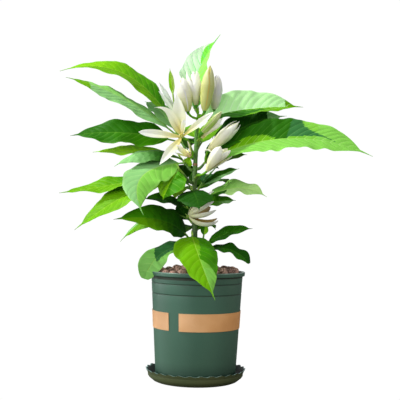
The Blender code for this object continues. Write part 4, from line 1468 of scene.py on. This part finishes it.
def make_bark(pile):
    """Trunk with paler specks and one brown scar, and its boughs."""
    made, tree, shader = new_finish("young_bark", (96, 104, 60), 0.62)
    tone = ramp(tree, place_share(tree, "Z", TRUNK_FOOT_Z, TRUNK_TOP_Z), BARK_TONES)
    speck = noise_node(tree, 520, 3, (1, 1, 0.5))
    mark = ramp(tree, speck, [(0.40, (0, 0, 0)), (0.50, (128, 128, 128)), (0.66, (255, 255, 255))])
    painted(tree, shader, blended(tree, "OVERLAY", 0.25, tone, mark), speck, 0.8, 0.6 * MM)
    scar = living("stalk", "scar")
    sides, steps = 40, 260
    height = TRUNK_TOP_Z - TRUNK_FOOT_Z
    turns = [2 * math.pi * k / sides for k in range(sides)]
    verts, finishes = [], []
    for t in shares(steps):
        z = TRUNK_FOOT_Z + height * t
        verts += [trunk_axis(z) + level(math.degrees(turn)) * bark_radius(z, turn) for turn in turns]
    for i in range(steps):
        ringed = abs((TRUNK_FOOT_Z + height * (i + 0.5) / steps) / MM - SCAR_RING) < RING_HALF
        finishes += [scar if ringed and math.cos(turn - SCAR_FACING) > 0.2 else made for turn in turns]
    pile.add(verts, limb_faces(steps + 1, sides), finishes + [made, made])
    for bough in BOUGHS:
        foot, tip = bough_ends(bough)
        bend = foot + (tip - foot) * 0.55 - UP * BOUGH_SAG
        count = 24
        points = [foot - level(bough.bearing) * BOUGH_SUNK]
        points += [between(foot, bend, tip, t) for t in shares(count)]
        points.append(tip + (tip - foot).normalized() * LAP)
        radii = [BOUGH_FOOT_R * 1.15]
        for i, t in enumerate(shares(count)):
            r = BOUGH_FOOT_R + (BOUGH_TIP_R - BOUGH_FOOT_R) * t
            radii.append(r * (1 + 0.1 * math.exp(-((i % 8) - 4) ** 2 / 1.5) + 0.02 * math.sin(5 * i)))
        pile.add(*tube(points, radii + [BOUGH_TIP_R], 20), made)


def add_stem(stalks, spray, points):
    """A spray's stem with swollen nodes, the bud at its tip and a small one above each leaf."""
    steps = 12
    fine = [along(points, t) for t in shares(steps)]
    inner = fine[0] + (fine[0] - fine[1]).normalized() * LAP
    radii = [STEM_FOOT_R * 1.05]
    for i, t in enumerate(shares(steps)):
        r = STEM_FOOT_R + (STEM_TIP_R - STEM_FOOT_R) * t
        radii.append(r * (1.1 if i % 4 == 2 else 1))
    stalks.add(*tube([inner] + fine, radii, 14), living("stalk", "stalk"))
    if spray.leaves:
        ahead = (points[-1] - points[-2]).normalized()
        stalks.add(*spindle(points[-1], ahead, *TIP_BUD), living("stalk", "young"))
    for leaf in spray.leaves:
        way = level(leaf.bearing)
        base = along(points, leaf.at) + way * 1.4 * MM
        axil_bud = spindle(base, (way * 0.5 + UP).normalized(), *AXIL_BUD, 8, 8)
        stalks.add(*axil_bud, living("stalk", "young"))


LEAF_PIECES = {
    "leaves_crown": ("spray_top", "spray_upper_left", "spray_right"),
    "leaves_left": ("spray_left", "spray_lower_left", "spray_middle", "spray_front"),
    "leaves_low": (
        "spray_low_left", "spray_foot_left", "spray_foot", "spray_foot_right",
        "spray_low_right", "spray_mid_right",
    ),
    "leaves_back": ("spray_back_low", "spray_back_mid", "spray_back_high"),
}


def make_plant():
    """Trunk and boughs, then every spray's stem, leaves and flowers, each kind joined apart."""
    bark = Pile("trunk_and_boughs")
    make_bark(bark)
    bark.made("green_bark", "trunk", *(bough.name for bough in BOUGHS))
    stalks = Pile("stems_and_stalks")
    petals = Pile("blossom")
    seed = 0
    for name, members in LEAF_PIECES.items():
        blades = Pile(name)
        for spray in SPRAYS:
            if spray.name not in members:
                continue
            for leaf in spray.leaves:
                seed += 1
                add_leaf(blades, stalks, leaf, along(stem_line(spray), leaf.at), seed)
        blades.made("leaf", *members)
    for spray in SPRAYS:
        points = stem_line(spray)
        add_stem(stalks, spray, points)
        for flower in spray.flowers:
            seed += 1
            add_flower(petals, stalks, flower, along(points, flower.at), seed)
    petals.made("petal", *(spray.name for spray in SPRAYS if not spray.leaves))
    stalks.made("green_bark")


KEY_AZIMUTH = math.radians(86)
KEY_HEIGHT = math.radians(54)
KEY_DISTANCE = 2.4
KEY_WAY = Vector((
    -math.sin(KEY_AZIMUTH) * math.cos(KEY_HEIGHT),
    -math.cos(KEY_AZIMUTH) * math.cos(KEY_HEIGHT),
    math.sin(KEY_HEIGHT),
))
MIDDLE = Vector((0, 0, 0.3))

# Lamps: name, place, what they point at, watts, size in metres and colour
LAMPS = (
    ("key", MIDDLE + KEY_WAY * KEY_DISTANCE, MIDDLE, 55, 0.22, (1.0, 0.985, 0.95)),
    ("fill", Vector((-1.5, -1.8, 0.9)), MIDDLE, 35, 1.6, (1.0, 1.0, 1.0)),
    ("side", Vector((-1.8, 0.25, 0.2)), MIDDLE, 26, 1.0, (0.97, 1.0, 1.0)),
    ("right", Vector((1.6, -1.6, 0.7)), MIDDLE, 9, 1.4, (1.0, 1.0, 1.0)),
    ("warm", Vector((1.1, 0.1, 0.08)), Vector((0, 0, 0.05)), 0.6, 0.3, (1.0, 0.8, 0.6)),
)
WHITE = (1, 1, 1, 1)
SURROUND = 0.43
SEEN_WHITE = 1.02
FLOOR_R = 6


def make_floor():
    """Pale floor that meets the light as it is, while the camera sees it as an even white."""
    mesh = bpy.data.meshes.new("floor")
    bm = bmesh.new()
    bmesh.ops.create_circle(bm, cap_ends=True, segments=64, radius=FLOOR_R)
    bm.to_mesh(mesh)
    bm.free()
    pale, tree, shader = new_finish("pale_floor", (110, 110, 106), 0.9, 0.1)
    seen = node(tree, "ShaderNodeLightPath", {}, "Is Camera Ray")
    glow = node(tree, "ShaderNodeEmission", {"Color": WHITE, "Strength": SEEN_WHITE}, "Emission")
    inputs = {"Fac": seen, 1: shader.outputs["BSDF"], 2: glow}
    surface = node(tree, "ShaderNodeMixShader", inputs, "Shader")
    tree.links.new(surface, tree.nodes["Material Output"].inputs["Surface"])
    mesh.materials.append(pale)
    placed("floor", mesh)


def make_stage():
    """Pale floor, high key light from the left, soft lights on both sides, pale surround."""
    make_floor()
    for name, place, target, watts, size, colour in LAMPS:
        lamp = bpy.data.lights.new(name, "AREA")
        lamp.energy = watts
        lamp.size = size
        lamp.color = colour
        made = placed(name, lamp)
        made.location = place
        made.rotation_euler = (target - place).to_track_quat("-Z", "Y").to_euler()
    world = bpy.data.worlds.new("surround")
    world.use_nodes = True
    bpy.context.scene.world = world
    tree = world.node_tree
    back = tree.nodes["Background"]
    back.inputs["Color"].default_value = WHITE
    seen = node(tree, "ShaderNodeLightPath", {}, "Is Camera Ray")
    strength = spread(tree, seen, SURROUND, SEEN_WHITE, 0, 1)
    tree.links.new(strength, back.inputs["Strength"])


CAMERA_PLACE = (0.0023, -1.15, 0.2196)
CAMERA_PITCH = 1.62
CAMERA_ROLL = 1.0
CAMERA_LENS = 73.35


def make_camera():
    """Camera in front of the plant, a little below its middle and turned up to it."""
    lens = bpy.data.cameras.new("camera")
    lens.lens = CAMERA_LENS
    lens.sensor_width = 36
    lens.clip_end = 50
    made = placed("camera", lens)
    pitch = Matrix.Rotation(math.radians(90 + CAMERA_PITCH), 4, "X")
    roll = Matrix.Rotation(math.radians(CAMERA_ROLL), 4, "Z")
    made.matrix_world = Matrix.Translation(CAMERA_PLACE) @ pitch @ roll
    bpy.context.scene.camera = made


bpy.context.scene.view_settings.view_transform = "Standard"
make_camera()
make_stage()
make_saucer()
make_pot()
make_strip()
make_pebbles()
make_soil()
make_plant()
